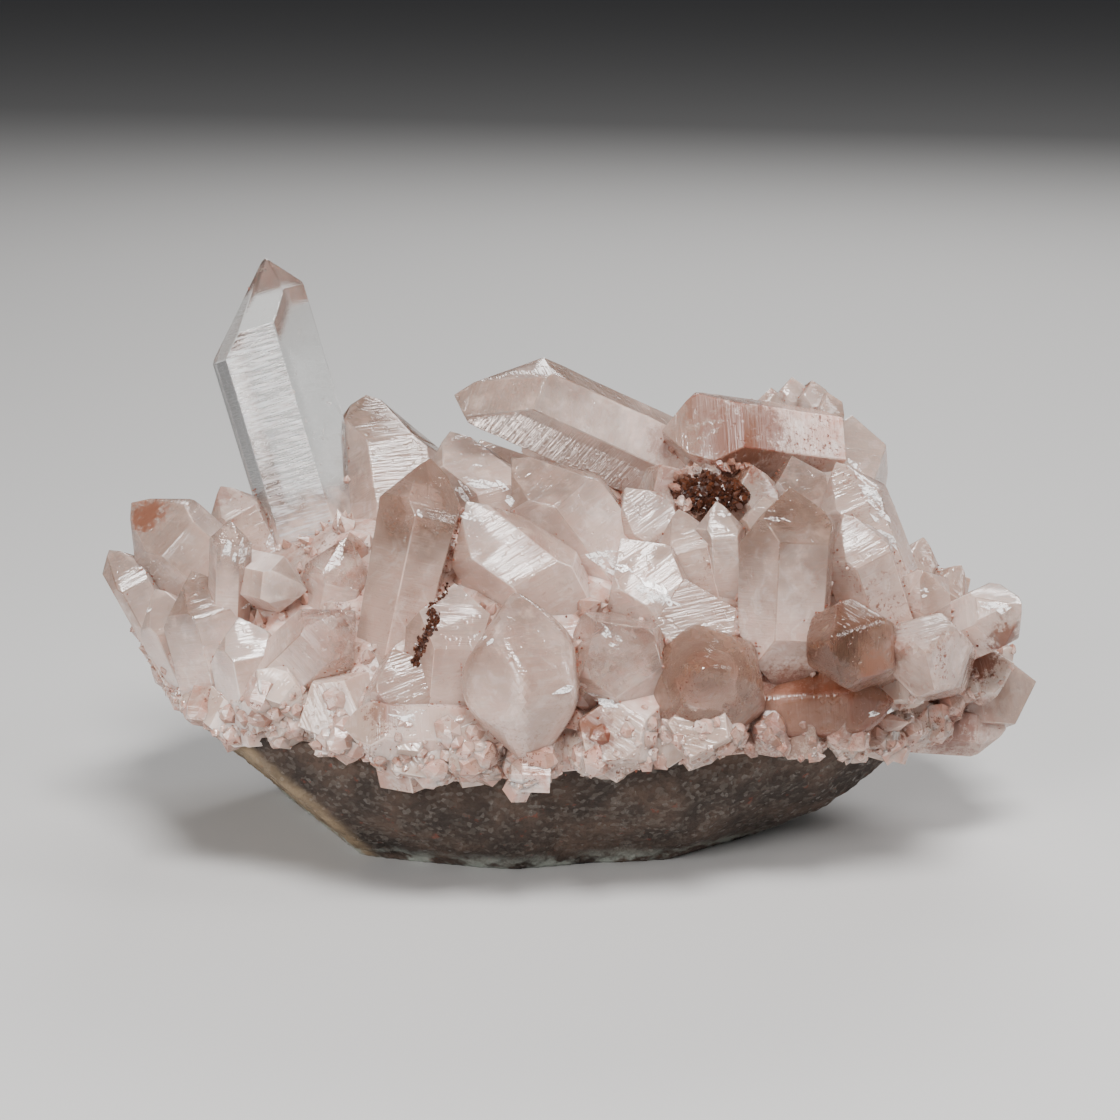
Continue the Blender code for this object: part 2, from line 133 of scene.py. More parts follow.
class Value:
    """A number inside a shader, so that maths on it is written as an expression."""

    def __init__(self, bench: "Bench", socket: bpy.types.NodeSocket) -> None:
        """Wraps a socket of one bench's tree."""
        self.bench = bench
        self.socket = socket

    def _maths(self, operation: str, *values: "Value | float") -> "Value":
        """Adds one Math node.

        Args:
            operation: The Math node's operation.
            values: Its inputs, as values or plain numbers.

        Returns:
            The node's result.
        """
        sockets = [v.socket if isinstance(v, Value) else v for v in values]
        node = self.bench.add("ShaderNodeMath", {"operation": operation}, dict(enumerate(sockets)))
        return Value(self.bench, node.outputs[0])

    def __add__(self, other: "Value | float") -> "Value":
        """Sum."""
        return self._maths("ADD", self, other)

    def __radd__(self, other: float) -> "Value":
        """Sum with a number on the left."""
        return self._maths("ADD", other, self)

    def __sub__(self, other: "Value | float") -> "Value":
        """Difference."""
        return self._maths("SUBTRACT", self, other)

    def __rsub__(self, other: float) -> "Value":
        """Difference from a number on the left."""
        return self._maths("SUBTRACT", other, self)

    def __mul__(self, other: "Value | float") -> "Value":
        """Product."""
        return self._maths("MULTIPLY", self, other)

    def __rmul__(self, other: float) -> "Value":
        """Product with a number on the left."""
        return self._maths("MULTIPLY", other, self)

    def __truediv__(self, other: "Value | float") -> "Value":
        """Quotient."""
        return self._maths("DIVIDE", self, other)

    def __pow__(self, other: float) -> "Value":
        """Power."""
        return self._maths("POWER", self, other)

    def clamped(self) -> "Value":
        """The value held between nought and one."""
        return self._maths("MINIMUM", self._maths("MAXIMUM", self, 0.0), 1.0)

    def larger(self, other: "Value | float") -> "Value":
        """The larger of the two."""
        return self._maths("MAXIMUM", self, other)

    def smaller(self, other: "Value | float") -> "Value":
        """The smaller of the two."""
        return self._maths("MINIMUM", self, other)

    def sine(self) -> "Value":
        """Sine of the value in radians."""
        return self._maths("SINE", self)

    def step(self, low: float, high: float, top: float = 1.0) -> "Value":
        """A smooth rise from nought at low to the top at high.

        Args:
            low: Where the rise starts.
            high: Where it ends; lower than low for a fall.
            top: What it reaches.

        Returns:
            The smoothed share.
        """
        settings = {"interpolation_type": "SMOOTHSTEP", "clamp": True}
        values = {"Value": self.socket, "From Min": low, "From Max": high, "To Min": 0.0, "To Max": top}
        if low > high:
            values.update({"From Min": high, "From Max": low, "To Min": top, "To Max": 0.0})
        return Value(self.bench, self.bench.add("ShaderNodeMapRange", settings, values).outputs[0])


class Bench:
    """Builds the node tree of one material."""

    def __init__(self, name: str) -> None:
        """Starts an empty material of that name."""
        self.material = bpy.data.materials.new(name)
        self.material.use_nodes = True
        self.tree = self.material.node_tree
        self.tree.nodes.clear()
        self.output = self.add("ShaderNodeOutputMaterial", {}, {})

    def add(self, kind: str, settings: dict, values: dict) -> bpy.types.Node:
        """Adds a node.

        Args:
            kind: The node's type.
            settings: Its properties, set before its sockets; "stops" fills a colour ramp.
            values: What each input socket holds, a number, a colour or a socket to link.

        Returns:
            The node.
        """
        node = self.tree.nodes.new(kind)
        for key, setting in settings.items():
            if key == "stops":
                self._fill_ramp(node.color_ramp, setting)
            else:
                setattr(node, key, setting)
        for key, value in values.items():
            socket = node.inputs[key]
            if isinstance(value, Value):
                value = value.socket
            if isinstance(value, bpy.types.NodeSocket):
                self.tree.links.new(value, socket)
            else:
                socket.default_value = value
        return node

    @staticmethod
    def _fill_ramp(ramp: bpy.types.ColorRamp, stops: list) -> None:
        """Gives a ramp its stops, each a place and a colour."""
        while len(ramp.elements) < len(stops):
            ramp.elements.new(0.5)
        for element, (place, colour) in zip(ramp.elements, stops):
            element.position = place
            element.color = colour

    def attribute(self, name: str) -> bpy.types.NodeSocket:
        """The vector that the mesh holds under that name."""
        return self.add("ShaderNodeAttribute", {"attribute_name": name}, {}).outputs["Vector"]

    def part(self, vector: bpy.types.NodeSocket, axis: str) -> Value:
        """One of a vector's numbers, X, Y or Z."""
        return Value(self, self.add("ShaderNodeSeparateXYZ", {}, {0: vector}).outputs[axis])

    def place(self) -> bpy.types.NodeSocket:
        """Where the shaded point is, in the object's own frame, in millimetres."""
        spot = self.add("ShaderNodeTexCoord", {}, {}).outputs["Object"]
        return self.scaled(spot, (1000.0, 1000.0, 1000.0))

    def behind_facet(self, place: bpy.types.NodeSocket, jump: float) -> bpy.types.NodeSocket:
        """The place moved by the normal of the face it lies on, so what lies inside shifts from one face to the
        next.
        """
        normal = self.add("ShaderNodeNewGeometry", {}, {}).outputs["True Normal"]
        moved = self.scaled(normal, (jump, jump, jump))
        return self.add("ShaderNodeVectorMath", {"operation": "ADD"}, {0: place, 1: moved}).outputs[0]

    def scaled(self, vector: bpy.types.NodeSocket, by: tuple[float, float, float]) -> bpy.types.NodeSocket:
        """The vector with each of its numbers multiplied."""
        node = self.add("ShaderNodeVectorMath", {"operation": "MULTIPLY"}, {0: vector, 1: by})
        return node.outputs[0]

    def distance(self, vector: bpy.types.NodeSocket, point: Vector) -> Value:
        """How far the vector is from a fixed point."""
        node = self.add("ShaderNodeVectorMath", {"operation": "DISTANCE"}, {0: vector, 1: tuple(point)})
        return Value(self, node.outputs["Value"])

    def noise(
        self, vector: bpy.types.NodeSocket, scale: float, detail: float = 2.0, rough: float = 0.5,
        distort: float = 0.0,
    ) -> Value:
        """Fractal noise between nought and one.

        Args:
            vector: Where it is read.
            scale: Blotches per unit of the vector.
            detail: How many finer layers are added.
            rough: How strong the finer layers are.
            distort: How much the blotches are dragged about.

        Returns:
            The noise.
        """
        values = {"Vector": vector, "Scale": scale, "Detail": detail, "Roughness": rough, "Distortion": distort}
        return Value(self, self.add("ShaderNodeTexNoise", {}, values).outputs[0])

    def cells(self, vector: bpy.types.NodeSocket, scale: float, feature: str = "F1") -> Value:
        """Distance to the nearest of scattered points, or to the edge between two of them."""
        node = self.add("ShaderNodeTexVoronoi", {"feature": feature}, {"Vector": vector, "Scale": scale})
        return Value(self, node.outputs["Distance"])

    def cell_colour(self, vector: bpy.types.NodeSocket, scale: float) -> bpy.types.NodeSocket:
        """A random colour for each cell round scattered points."""
        node = self.add("ShaderNodeTexVoronoi", {"feature": "F1"}, {"Vector": vector, "Scale": scale})
        return node.outputs["Color"]

    def blend(self, share: Value | float, first: object, second: object) -> bpy.types.NodeSocket:
        """A colour between two, each a colour or a socket.

        Args:
            share: Nought for the first, one for the second.
            first: A colour.
            second: A colour.

        Returns:
            The blended colour.
        """
        node = self.add("ShaderNodeMix", {"data_type": "RGBA"}, {0: share, 6: first, 7: second})
        return node.outputs[2]

    def bump(self, height: Value, depth: float, strength: float = 1.0) -> bpy.types.NodeSocket:
        """A normal from a height, with the relief's depth in metres."""
        values = {"Height": height, "Distance": depth, "Strength": strength}
        return self.add("ShaderNodeBump", {}, values).outputs[0]

    def principled(self, **values: object) -> bpy.types.NodeSocket:
        """A Principled shader; a socket's name is written with underscores for spaces."""
        named = {key.replace("_", " "): value for key, value in values.items()}
        return self.add("ShaderNodeBsdfPrincipled", {}, named).outputs[0]

    def finish(self, shader: bpy.types.NodeSocket) -> bpy.types.Material:
        """Links the surface and hands over the material."""
        self.tree.links.new(shader, self.output.inputs["Surface"])
        return self.material


class Tone(Enum):
    """What a point's quartz is like: how clear its tip is, how smoky, how rusty."""

    MILKY = (0.66, 0.12, 0.12)
    PALE = (0.62, 0.00, 0.08)
    CLOUDY = (0.75, 0.28, 0.10)
    GLASSY = (1.00, 0.10, 0.05)
    SMOKY = (0.80, 0.65, 0.10)
    BROWN = (0.80, 0.90, 0.28)
    AMBER = (0.60, 1.00, 1.20)
    RUSTY = (0.55, 0.22, 0.80)
    PINK = (0.52, 0.16, 0.50)


DARKER = (Tone.SMOKY, Tone.BROWN, Tone.AMBER, Tone.CLOUDY)


def seen_at(across: float, up: float, depth: float) -> Vector:
    """The place that the viewer sees at (across, up) and that lies at that depth along +Y.

    Args:
        across: Millimetres to the right in the viewer's plane.
        up: Millimetres up in the viewer's plane.
        depth: The place's own Y.

    Returns:
        The place.
    """
    eye, forward, upward = viewpoint()
    ray = forward * VIEW_DISTANCE
    ray += Vector((across - VIEW_CENTRE_ACROSS, 0.0, 0.0))
    ray += upward * (up - VIEW_CENTRE_UP)
    return eye + ray * ((depth - eye.y) / ray.y)


def viewpoint() -> tuple[Vector, Vector, Vector]:
    """The viewer's eye, the way it looks, and its upward direction."""
    forward = Vector((0.0, math.cos(LOOK_DOWN), -math.sin(LOOK_DOWN)))
    upward = Vector((0.0, math.sin(LOOK_DOWN), math.cos(LOOK_DOWN)))
    aim = Vector((VIEW_CENTRE_ACROSS, 0.0, VIEW_CENTRE_Z))
    return aim - forward * VIEW_DISTANCE, forward, upward


def slice_off(bm: bmesh.types.BMesh, point: Vector, normal: Vector, keep: bool = False) -> None:
    """Cuts away what lies beyond a plane and closes the cut, or only scores the plane's line.

    Args:
        bm: The mesh.
        point: A point of the plane.
        normal: The side that goes.
        keep: Leave both sides, with new edges between them.
    """
    geometry = bm.verts[:] + bm.edges[:] + bm.faces[:]
    cut = bmesh.ops.bisect_plane(
        bm, geom=geometry, dist=1e-5, plane_co=point, plane_no=normal, clear_outer=not keep
    )
    edges = [item for item in cut["geom_cut"] if isinstance(item, bmesh.types.BMEdge)]
    if not keep and len(edges) > 2:
        bmesh.ops.contextual_create(bm, geom=edges)


def break_off(bm: bmesh.types.BMesh, frame: Matrix) -> None:
    """Cuts a shape where the specimen was broken off at the left.

    Args:
        bm: The shape.
        frame: Takes it into the model's frame, in millimetres.
    """
    back = frame.inverted()
    for normal in BROKEN_FACES:
        slice_off(bm, back @ BROKEN_RIDGE, back.to_3x3() @ normal)


@dataclass
class Crystal:
    """One quartz point, from its root to the place where its faces meet."""

    tip: tuple | Vector
    root: tuple | Vector
    width: float
    roll: float = 0.0
    apex: tuple[float, float] = (0.0, 0.0)
    lesser: float = 0.12
    stretch: float = 1.0
    taper: float = 1.0
    double: bool = False
    tone: Tone = Tone.MILKY
    round: float = 0.13
    wear: float = 0.0

    @property
    def length(self) -> float:
        """From root to tip."""
        return (self.tip - self.root).length

    @property
    def stepped_faces(self) -> bool:
        """Whether the point is large enough to show steps."""
        return self.width > 9.6 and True

    def frame(self) -> Matrix:
        """The crystal's own frame: Z along it, and -Y towards the viewer."""
        axis = (self.tip - self.root).normalized()
        towards_viewer = Vector((0.0, -math.cos(LOOK_DOWN), math.sin(LOOK_DOWN)))
        front = (towards_viewer - axis * towards_viewer.dot(axis)).normalized()
        side = axis.cross(front)
        return Matrix((
            (side.x, -front.x, axis.x, self.root.x),
            (side.y, -front.y, axis.y, self.root.y),
            (side.z, -front.z, axis.z, self.root.z),
            (0.0, 0.0, 0.0, 1.0),
        ))

    def _end(self, bm: bmesh.types.BMesh, height: float, apex: tuple, up: float, rng: random.Random) -> None:
        """Cuts the six sloping faces of one end, every other one smaller."""
        turn = math.radians(self.roll - 90.0)
        for k in range(6):
            angle = turn + k * math.pi / 3.0
            tilt = POINT_NORMAL_TILT + rng.uniform(-0.04, 0.04)
            across = math.sin(tilt)
            normal = Vector((math.cos(angle) * across, math.sin(angle) * across, up * math.cos(tilt)))
            back = self.lesser * self.width if k % 2 else rng.uniform(0.0, 0.04) * self.width
            meeting = Vector((apex[0], apex[1], height))
            slice_off(bm, meeting + normal * (back * math.cos(tilt)), normal)

    def block(self, rng: random.Random) -> bmesh.types.BMesh:
        """The faceted point in its own frame, in millimetres."""
        start = -self.width if self.double else 0.0
        end = self.length + self.width
        bm = bmesh.new()
        bmesh.ops.create_cone(
            bm, cap_ends=True, segments=6, radius1=self.width, radius2=self.width, depth=end - start,
            matrix=Matrix.Translation((0.0, 0.0, (start + end) / 2.0)),
        )
        turn = math.radians(self.roll - 90.0)
        for k in range(6):
            angle = turn + k * math.pi / 3.0
            normal = Vector((math.cos(angle), math.sin(angle), 0.0))
            slice_off(bm, normal * self.width * rng.uniform(0.46, 0.53), normal)
        self._end(bm, self.length, self.apex, 1.0, rng)
        if self.double:
            self._end(bm, 0.0, (0.0, 0.0), -1.0, rng)
        for vert in bm.verts:
            along = min(max(vert.co.z / self.length, 0.0), 1.0)
            narrowing = self.taper + (1.0 - self.taper) * along
            vert.co.x *= narrowing
            vert.co.y *= narrowing * self.stretch
        bmesh.ops.remove_doubles(bm, verts=bm.verts[:], dist=1e-4)
        bmesh.ops.recalc_face_normals(bm, faces=bm.faces[:])
        return bm

    def stepped(self, bm: bmesh.types.BMesh, rng: random.Random) -> None:
        """Gives the long faces the low cross steps that they grew in.

        Args:
            bm: The shape in the crystal's own frame.
            rng: Where the chance comes from.
        """
        height = self.width * rng.uniform(0.2, 0.4)
        while height < self.length * 0.98:
            normal = Vector((rng.uniform(-0.05, 0.05), rng.uniform(-0.05, 0.05), 1.0))
            slice_off(bm, Vector((0.0, 0.0, height)), normal, keep=True)
            height += STEP_SPACING * rng.uniform(0.5, 1.7)
        offset = rng.uniform(0.0, 90.0)
        for vert in bm.verts:
            angle = math.atan2(vert.co.y, vert.co.x)
            spot = Vector((math.cos(angle) * 0.8, math.sin(angle) * 0.8 + offset, vert.co.z * 0.6))
            growth = 1.0 - STEP_DEPTH / self.width * (0.5 + noise.noise(spot))
            vert.co.x *= growth
            vert.co.y *= growth

    def eased(self, bm: bmesh.types.BMesh) -> None:
        """Takes the sharpness off the edges, more where the point is worn."""
        if self.round <= 0.0:
            return
        bmesh.ops.bevel(
            bm, geom=bm.edges[:], offset=self.round, segments=1, profile=0.5,
            affect="EDGES", clamp_overlap=True,
        )
        bmesh.ops.dissolve_degenerate(bm, dist=2e-3, edges=bm.edges[:])

    def worn(self, bm: bmesh.types.BMesh) -> bmesh.types.BMesh:
        """The shape with soft shoulders where its faces met, nowhere outside the sharp one.

        Args:
            bm: The sharp shape, which is used up.

        Returns:
            The rounded shape.
        """
        bm.normal_update()
        middle = sum((vert.co for vert in bm.verts), Vector()) / len(bm.verts)
        reaches = [(face.normal.copy(), face.normal.dot(face.calc_center_median() - middle)) for face in bm.faces]
        planes = [normal / reach for normal, reach in reaches if reach > 0.01]
        bm.free()
        rounded = bmesh.new()
        bmesh.ops.create_icosphere(rounded, subdivisions=5, radius=1.0)
        for vert in rounded.verts:
            way = vert.co.normalized()
            blended = sum(max(way.dot(plane), 0.0) ** self.wear for plane in planes)
            vert.co = middle + way * blended ** (-1.0 / self.wear)
        return rounded

    def mesh(self, name: str, bm: bmesh.types.BMesh, shade: float) -> bpy.types.Mesh:
        """Places the shape, with what the finish reads written on its corners.

        Args:
            name: The mesh's name.
            bm: The shape in the crystal's own frame.
            shade: A number from nought to one of this crystal's own.

        Returns:
            The mesh in metres, in the model's frame.
        """
        made = bpy.data.meshes.new(name)
        bm.to_mesh(made)
        bm.free()
        clarity, smoke, rust = self.tone.value
        local, growth, habit = [], [], []
        for loop in made.loops:
            place = made.vertices[loop.vertex_index].co
            local.extend(place)
            growth.extend((place.z / self.length, clarity, smoke))
            habit.extend((rust, shade, 1.0))
        write_corners(made, local=local, growth=growth, habit=habit)
        made.transform(Matrix.Scale(MM, 4) @ self.frame())
        return made


NAMED_CRYSTALS = {
    "clear_point": Crystal(
        (-53.5, 96.7, 12), (-35.5, 37, 2), 16.2, roll=-10, apex=(4.4, 0), lesser=0.05,
        tone=Tone.GLASSY,
    ),
    "far_left": Crystal((-74.4, 50.8, -8), (-61, 26, -8), 9.5, roll=20, tone=Tone.CLOUDY),
    "left_lean": Crystal((-71, 58.6, -6), (-50, 40, -8), 13.0, roll=10, apex=(0, 1), tone=Tone.CLOUDY),
    "left_sliver": Crystal((-54.9, 55.8, -23), (-55.4, 37, -20), 5.6, roll=0, tone=Tone.GLASSY),
    "left_back": Crystal((-56.5, 61.3, 4), (-48, 45, 2), 9.0, roll=15, tone=Tone.PINK),
    "left_stub": Crystal((-42.8, 44.5, -24), (-54, 47, -18), 8.0, roll=10, tone=Tone.PALE),
    "left_column": Crystal((-61, 47.5, -19), (-54, 20, -22), 12.5, roll=25, lesser=0.2, tone=Tone.CLOUDY),
    "left_outer_column": Crystal((-67, 44.5, -14), (-56, 20, -18), 9.5, roll=5, tone=Tone.PALE),
    "left_low": Crystal((-53.5, 40, -26), (-49.5, 18, -27), 9.5, roll=15, lesser=0.3, tone=Tone.PALE),
    "left_tilted": Crystal((-34.8, 41, -33), (-51, 25.5, -27), 10.5, roll=0, stretch=0.8, tone=Tone.GLASSY),
    "point_foot": Crystal((-36, 53, -19), (-41, 33, -18), 10.0, roll=12, tone=Tone.GLASSY),
    "broad_shoulder": Crystal(
        (-30.0, 76.5, 14), (-24.0, 36, -8), 17.8, roll=8, apex=(-3.3, 0),
        tone=Tone.CLOUDY,
    ),
    "leaning_blade": Crystal(
        (-22.4, 65.8, -20), (-31, 26.5, -30), 13.6, roll=28, taper=0.72,
        tone=Tone.SMOKY,
    ),
    "top_point": Crystal(
        (-16.6, 80.0, -6), (33, 57.6, 7), 13.4, roll=14, apex=(-4.2, 0.5), lesser=0.2,
        tone=Tone.CLOUDY,
    ),
    "pale_block": Crystal((-16.5, 71.0, -1), (-9, 44, -10), 16.0, roll=18, apex=(-3, 0), tone=Tone.PALE),
    "ridge_point": Crystal(
        (-7.6, 67.0, -15), (11, 42.5, -16), 13.5, roll=24, apex=(-2, 0),
        tone=Tone.CLOUDY,
    ),
    "milky_middle": Crystal((-13.5, 60.0, -23), (0, 34, -20), 17.5, roll=12, apex=(-3, 1), tone=Tone.MILKY),
    "front_egg": Crystal(
        (-8.9, 45.2, -37), (-6.4, 15.2, -43), 17.2, roll=26, lesser=0.1, double=True,
        tone=Tone.CLOUDY, wear=15.0,
    ),
    "front_window": Crystal((4.4, 39.5, -41), (13.5, 23, -25), 14.0, roll=8, lesser=0.3, tone=Tone.GLASSY),
    "facing_egg": Crystal(
        (21.4, 32, -47), (23, 26, -20), 16.4, roll=16, lesser=0.05,
        tone=Tone.BROWN, wear=18.0,
    ),
    "upright_smoky": Crystal(
        (35.8, 61.2, -27), (34.0, 28.0, -33), 13.6, roll=18, lesser=0.3, taper=0.92, double=True,
        tone=Tone.SMOKY,
    ),
    "small_smoky": Crystal(
        (43.6, 36.6, -46), (48.5, 34, -22), 12.2, roll=22, apex=(-1.5, 1.5),
        tone=Tone.BROWN, wear=40.0,
    ),
    "pink_block": Crystal(
        (57.4, 34.5, -42), (59, 33, -16), 12.0, roll=8, lesser=0.4,
        tone=Tone.PINK, wear=30.0,
    ),
    "lit_corner": Crystal((73.0, 42.5, -24), (59, 36, -12), 10.0, roll=25, tone=Tone.PALE),
    "far_right": Crystal((75.2, 29.6, -12), (58, 27.6, -8), 13.4, roll=12, lesser=0.4, tone=Tone.CLOUDY),
    "right_ledge": Crystal((70.5, 22.0, -14), (48, 23.5, -14), 8.6, roll=0, stretch=0.7, tone=Tone.PINK),
    "rusty_low": Crystal((53.0, 26.6, -33), (28, 24.8, -31), 10.8, roll=10, tone=Tone.AMBER, wear=18.0),
    "rust_faced": Crystal(
        (15.6, 70.4, -9), (41, 67.0, 2), 13.0, roll=20, apex=(0, 1.5), lesser=0.25,
        tone=Tone.RUSTY,
    ),
    "right_dome": Crystal(
        (42.5, 73.0, 5), (39, 46, 0), 18.0, roll=10, apex=(3, 0), lesser=0.3,
        tone=Tone.MILKY,
    ),
    "right_dome_low": Crystal((47.0, 63.0, -3), (42, 38, -6), 13.0, roll=20, apex=(2, 0), tone=Tone.PINK),
    "slope_upper": Crystal((43.0, 65.0, -12), (54, 36.5, -17), 11.5, roll=6, tone=Tone.PINK),
    "slope_lower": Crystal((44.3, 56.6, -24), (52, 34, -22), 10.5, roll=18, tone=Tone.PINK),
    "rim_upper": Crystal((57.2, 53.0, -8), (52, 38, -8), 7.6, roll=10, tone=Tone.PINK),
    "rim_middle": Crystal((63.4, 48.6, -9), (55, 36, -9), 7.6, roll=0, tone=Tone.PINK),
    "rim_front": Crystal((57.2, 47.4, -25), (58, 35, -15), 7.8, roll=20, tone=Tone.PINK),
    "pocket_tooth": Crystal((23.7, 58.8, -21), (24.6, 38, -22), 8.0, roll=12, tone=Tone.PALE),
    "pocket_tooth_left": Crystal((17.5, 57.5, -20), (22, 38, -22), 9.5, roll=0, tone=Tone.PINK),
    "pocket_hump": Crystal((9.0, 61.0, -17), (18, 44, -12), 11.0, roll=14, lesser=0.2, tone=Tone.PINK),
    "pocket_left": Crystal((14.6, 64.8, -14), (19, 46, -6), 8.6, roll=28, lesser=0.3, tone=Tone.PINK),
    "pocket_back": Crystal((20.5, 66.4, -9), (22, 46, -4), 9.4, roll=4, lesser=0.3, tone=Tone.RUSTY),
    "pocket_right": Crystal((29.6, 64.6, -14), (29, 46, -8), 8.4, roll=22, lesser=0.2, tone=Tone.RUSTY),
    "pocket_sill": Crystal((31.5, 59.6, -19), (30, 42, -14), 7.6, roll=8, lesser=0.3, tone=Tone.PINK),
    "smoky_hump": Crystal((36.0, 66.0, -10), (37, 44, -10), 11.0, roll=26, lesser=0.3, tone=Tone.CLOUDY),
    "sparkling": Crystal((8.4, 52.6, -26), (19, 34, -24), 13.0, roll=15, lesser=0.3, tone=Tone.PALE),
    "milky_lower": Crystal((18.5, 46.0, -31), (22, 25, -28), 15.0, roll=4, lesser=0.4, tone=Tone.PALE),
    "under_top": Crystal(
        (-12.5, 69.5, 7), (-4, 44, 4), 16.0, roll=8, apex=(-2, 0), lesser=0.3,
        tone=Tone.PINK,
    ),
    "vein_side": Crystal((-18.6, 45.5, -32), (-21, 18, -35), 12.5, roll=14, lesser=0.3, tone=Tone.MILKY),
    "blade_foot": Crystal((-28.5, 35.0, -38), (-24, 15, -35), 11.5, roll=22, lesser=0.3, tone=Tone.PINK),
    "skirt_left": Crystal((-44.0, 22.5, -38), (-29, 28, -28), 12.0, roll=10, lesser=0.3, tone=Tone.PINK),
    "skirt_lying": Crystal((-36.5, 22.5, -42), (-14, 21.5, -39), 9.0, roll=20, lesser=0.2, tone=Tone.PINK),
    "skirt_middle": Crystal((-28.5, 15.2, -45), (-18, 21, -36), 9.5, roll=15, lesser=0.3, tone=Tone.PINK),
    "skirt_under_blade": Crystal(
        (-19.5, 15.5, -46), (-12, 22, -36), 9.0, roll=5, lesser=0.3,
        tone=Tone.PINK,
    ),
    "skirt_under_egg": Crystal((-7.6, 12.8, -45), (-4, 20, -38), 7.5, roll=10, lesser=0.2, tone=Tone.PINK),
    "skirt_right_of_egg": Crystal(
        (3.0, 16.6, -46), (11, 24, -35), 12.0, roll=25, lesser=0.3,
        tone=Tone.PINK,
    ),
    "skirt_under_facing": Crystal(
        (19.5, 17.5, -46), (22, 25, -35), 10.5, roll=12, lesser=0.4,
        tone=Tone.PINK,
    ),
}


# Points on the side turned away, as (x, y, z) places.
BACK_CRYSTALS = {
    "back_ridge": Crystal((-22, 30, 52), (-8, 8, 34), 15.0, roll=12, apex=(2, 0), tone=Tone.MILKY),
    "back_spire": Crystal((8, 33, 57), (8, 10, 36), 13.5, roll=25, lesser=0.2, tone=Tone.CLOUDY),
    "back_block": Crystal(
        (33, 33, 53), (24, 6, 34), 16.5, roll=6, apex=(-3, 0), lesser=0.3,
        tone=Tone.PALE,
    ),
    "back_right": Crystal((55, 27, 41), (36, 4, 30), 14.0, roll=18, tone=Tone.SMOKY),
    "back_left": Crystal((-46, 27, 46), (-28, 6, 32), 13.5, roll=10, lesser=0.3, tone=Tone.CLOUDY),
    "back_low_left": Crystal((-33, 44, 36), (-18, 14, 28), 14.0, roll=20, tone=Tone.MILKY),
    "back_low": Crystal((-4, 50, 37), (0, 16, 30), 15.0, roll=4, lesser=0.4, tone=Tone.PALE),
    "back_low_right": Crystal((26, 46, 36), (18, 14, 28), 14.5, roll=14, tone=Tone.PINK),
    "back_end": Crystal((58, 32, 29), (34, 12, 28), 12.0, roll=8, lesser=0.3, tone=Tone.CLOUDY),
    "back_corner": Crystal((-56, 24, 37), (-36, 8, 30), 11.5, roll=22, tone=Tone.PINK),
    "behind_top": Crystal((-3, 22, 66), (4, 4, 40), 13.0, roll=16, lesser=0.3, tone=Tone.PINK),
    "behind_dome": Crystal((43, 20, 54), (34, 2, 36), 13.0, roll=24, tone=Tone.MILKY),
}

# The striated comb behind the right shoulder: plates side by side, each a little higher or lower.
COMB_TIPS = ((29.5, 75.6, 8), (32.6, 77.2, 9), (36.0, 79.0, 10), (39.2, 78.4, 9), (41.6, 76.6, 8))
COMB_ROOT = (34.5, 52.0, 9)
COMB_WIDTH = 5.6


# How high the rock shows under the crust at the front, as places (x, z).
ROCK_SHOWS = (
    (-80.0, 23.0), (-36.0, 22.9), (-28.0, 20.4), (-10.0, 19.6), (6.0, 21.4), (16.0, 23.2), (30.0, 23.2),
    (43.0, 20.0), (56.0, 18.6), (70.0, 15.0),
)
ROCK_SHOWS_BACK_TO = -8.0
ROCK_SHOWS_LEFT_OF = -44.0
ROCK_FREE_LEFT_OF = -24.0


def write_corners(mesh: bpy.types.Mesh, **vectors: list[float]) -> None:
    """Writes one vector for each face corner under each name."""
    for name, numbers in vectors.items():
        layer = mesh.attributes.new(name, "FLOAT_VECTOR", "CORNER")
        layer.data.foreach_set("vector", numbers)


def welded(*meshes: bpy.types.Mesh) -> bpy.types.Mesh:
    """A copy of one or more meshes whose faces share their corners, as a closed solid's do."""
    bm = bmesh.new()
    for mesh in meshes:
        bm.from_mesh(mesh)
    bmesh.ops.remove_doubles(bm, verts=bm.verts[:], dist=1e-6)
    made = bpy.data.meshes.new(meshes[0].name)
    bm.to_mesh(made)
    bm.free()
    if "custom_normal" in made.attributes:
        made.attributes.remove(made.attributes["custom_normal"])
    return made


def new_object(name: str, mesh: bpy.types.Mesh) -> bpy.types.Object:
    """Links a mesh into the scene under that name."""
    placed = bpy.data.objects.new(name, mesh)
    bpy.context.scene.collection.objects.link(placed)
    return placed


def settle(piece: bpy.types.Object, finish: bpy.types.Material, slot: str, *nodes: str) -> None:
    """Dresses the piece and rides it on the specimen's body, in place of the solids it stands for."""
    piece.data.materials.clear()
    piece.data.materials.append(finish)
    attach(piece, "root")
    if nodes:
        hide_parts(*nodes)
    LOG.info("%s: %d faces", piece.name, len(piece.data.polygons))


class Grown(Enum):
    """What a small grain is shaped like: how far its top rises, then its levels as height and width."""

    POINT = (1.0, ((-0.9, 1.0), (0.25, 0.97)))
    LUMP = (0.62, ((-0.8, 1.0), (0.12, 0.95), (0.46, 0.58)))
    CHIP = (1.0, ((0.0, 1.0),))


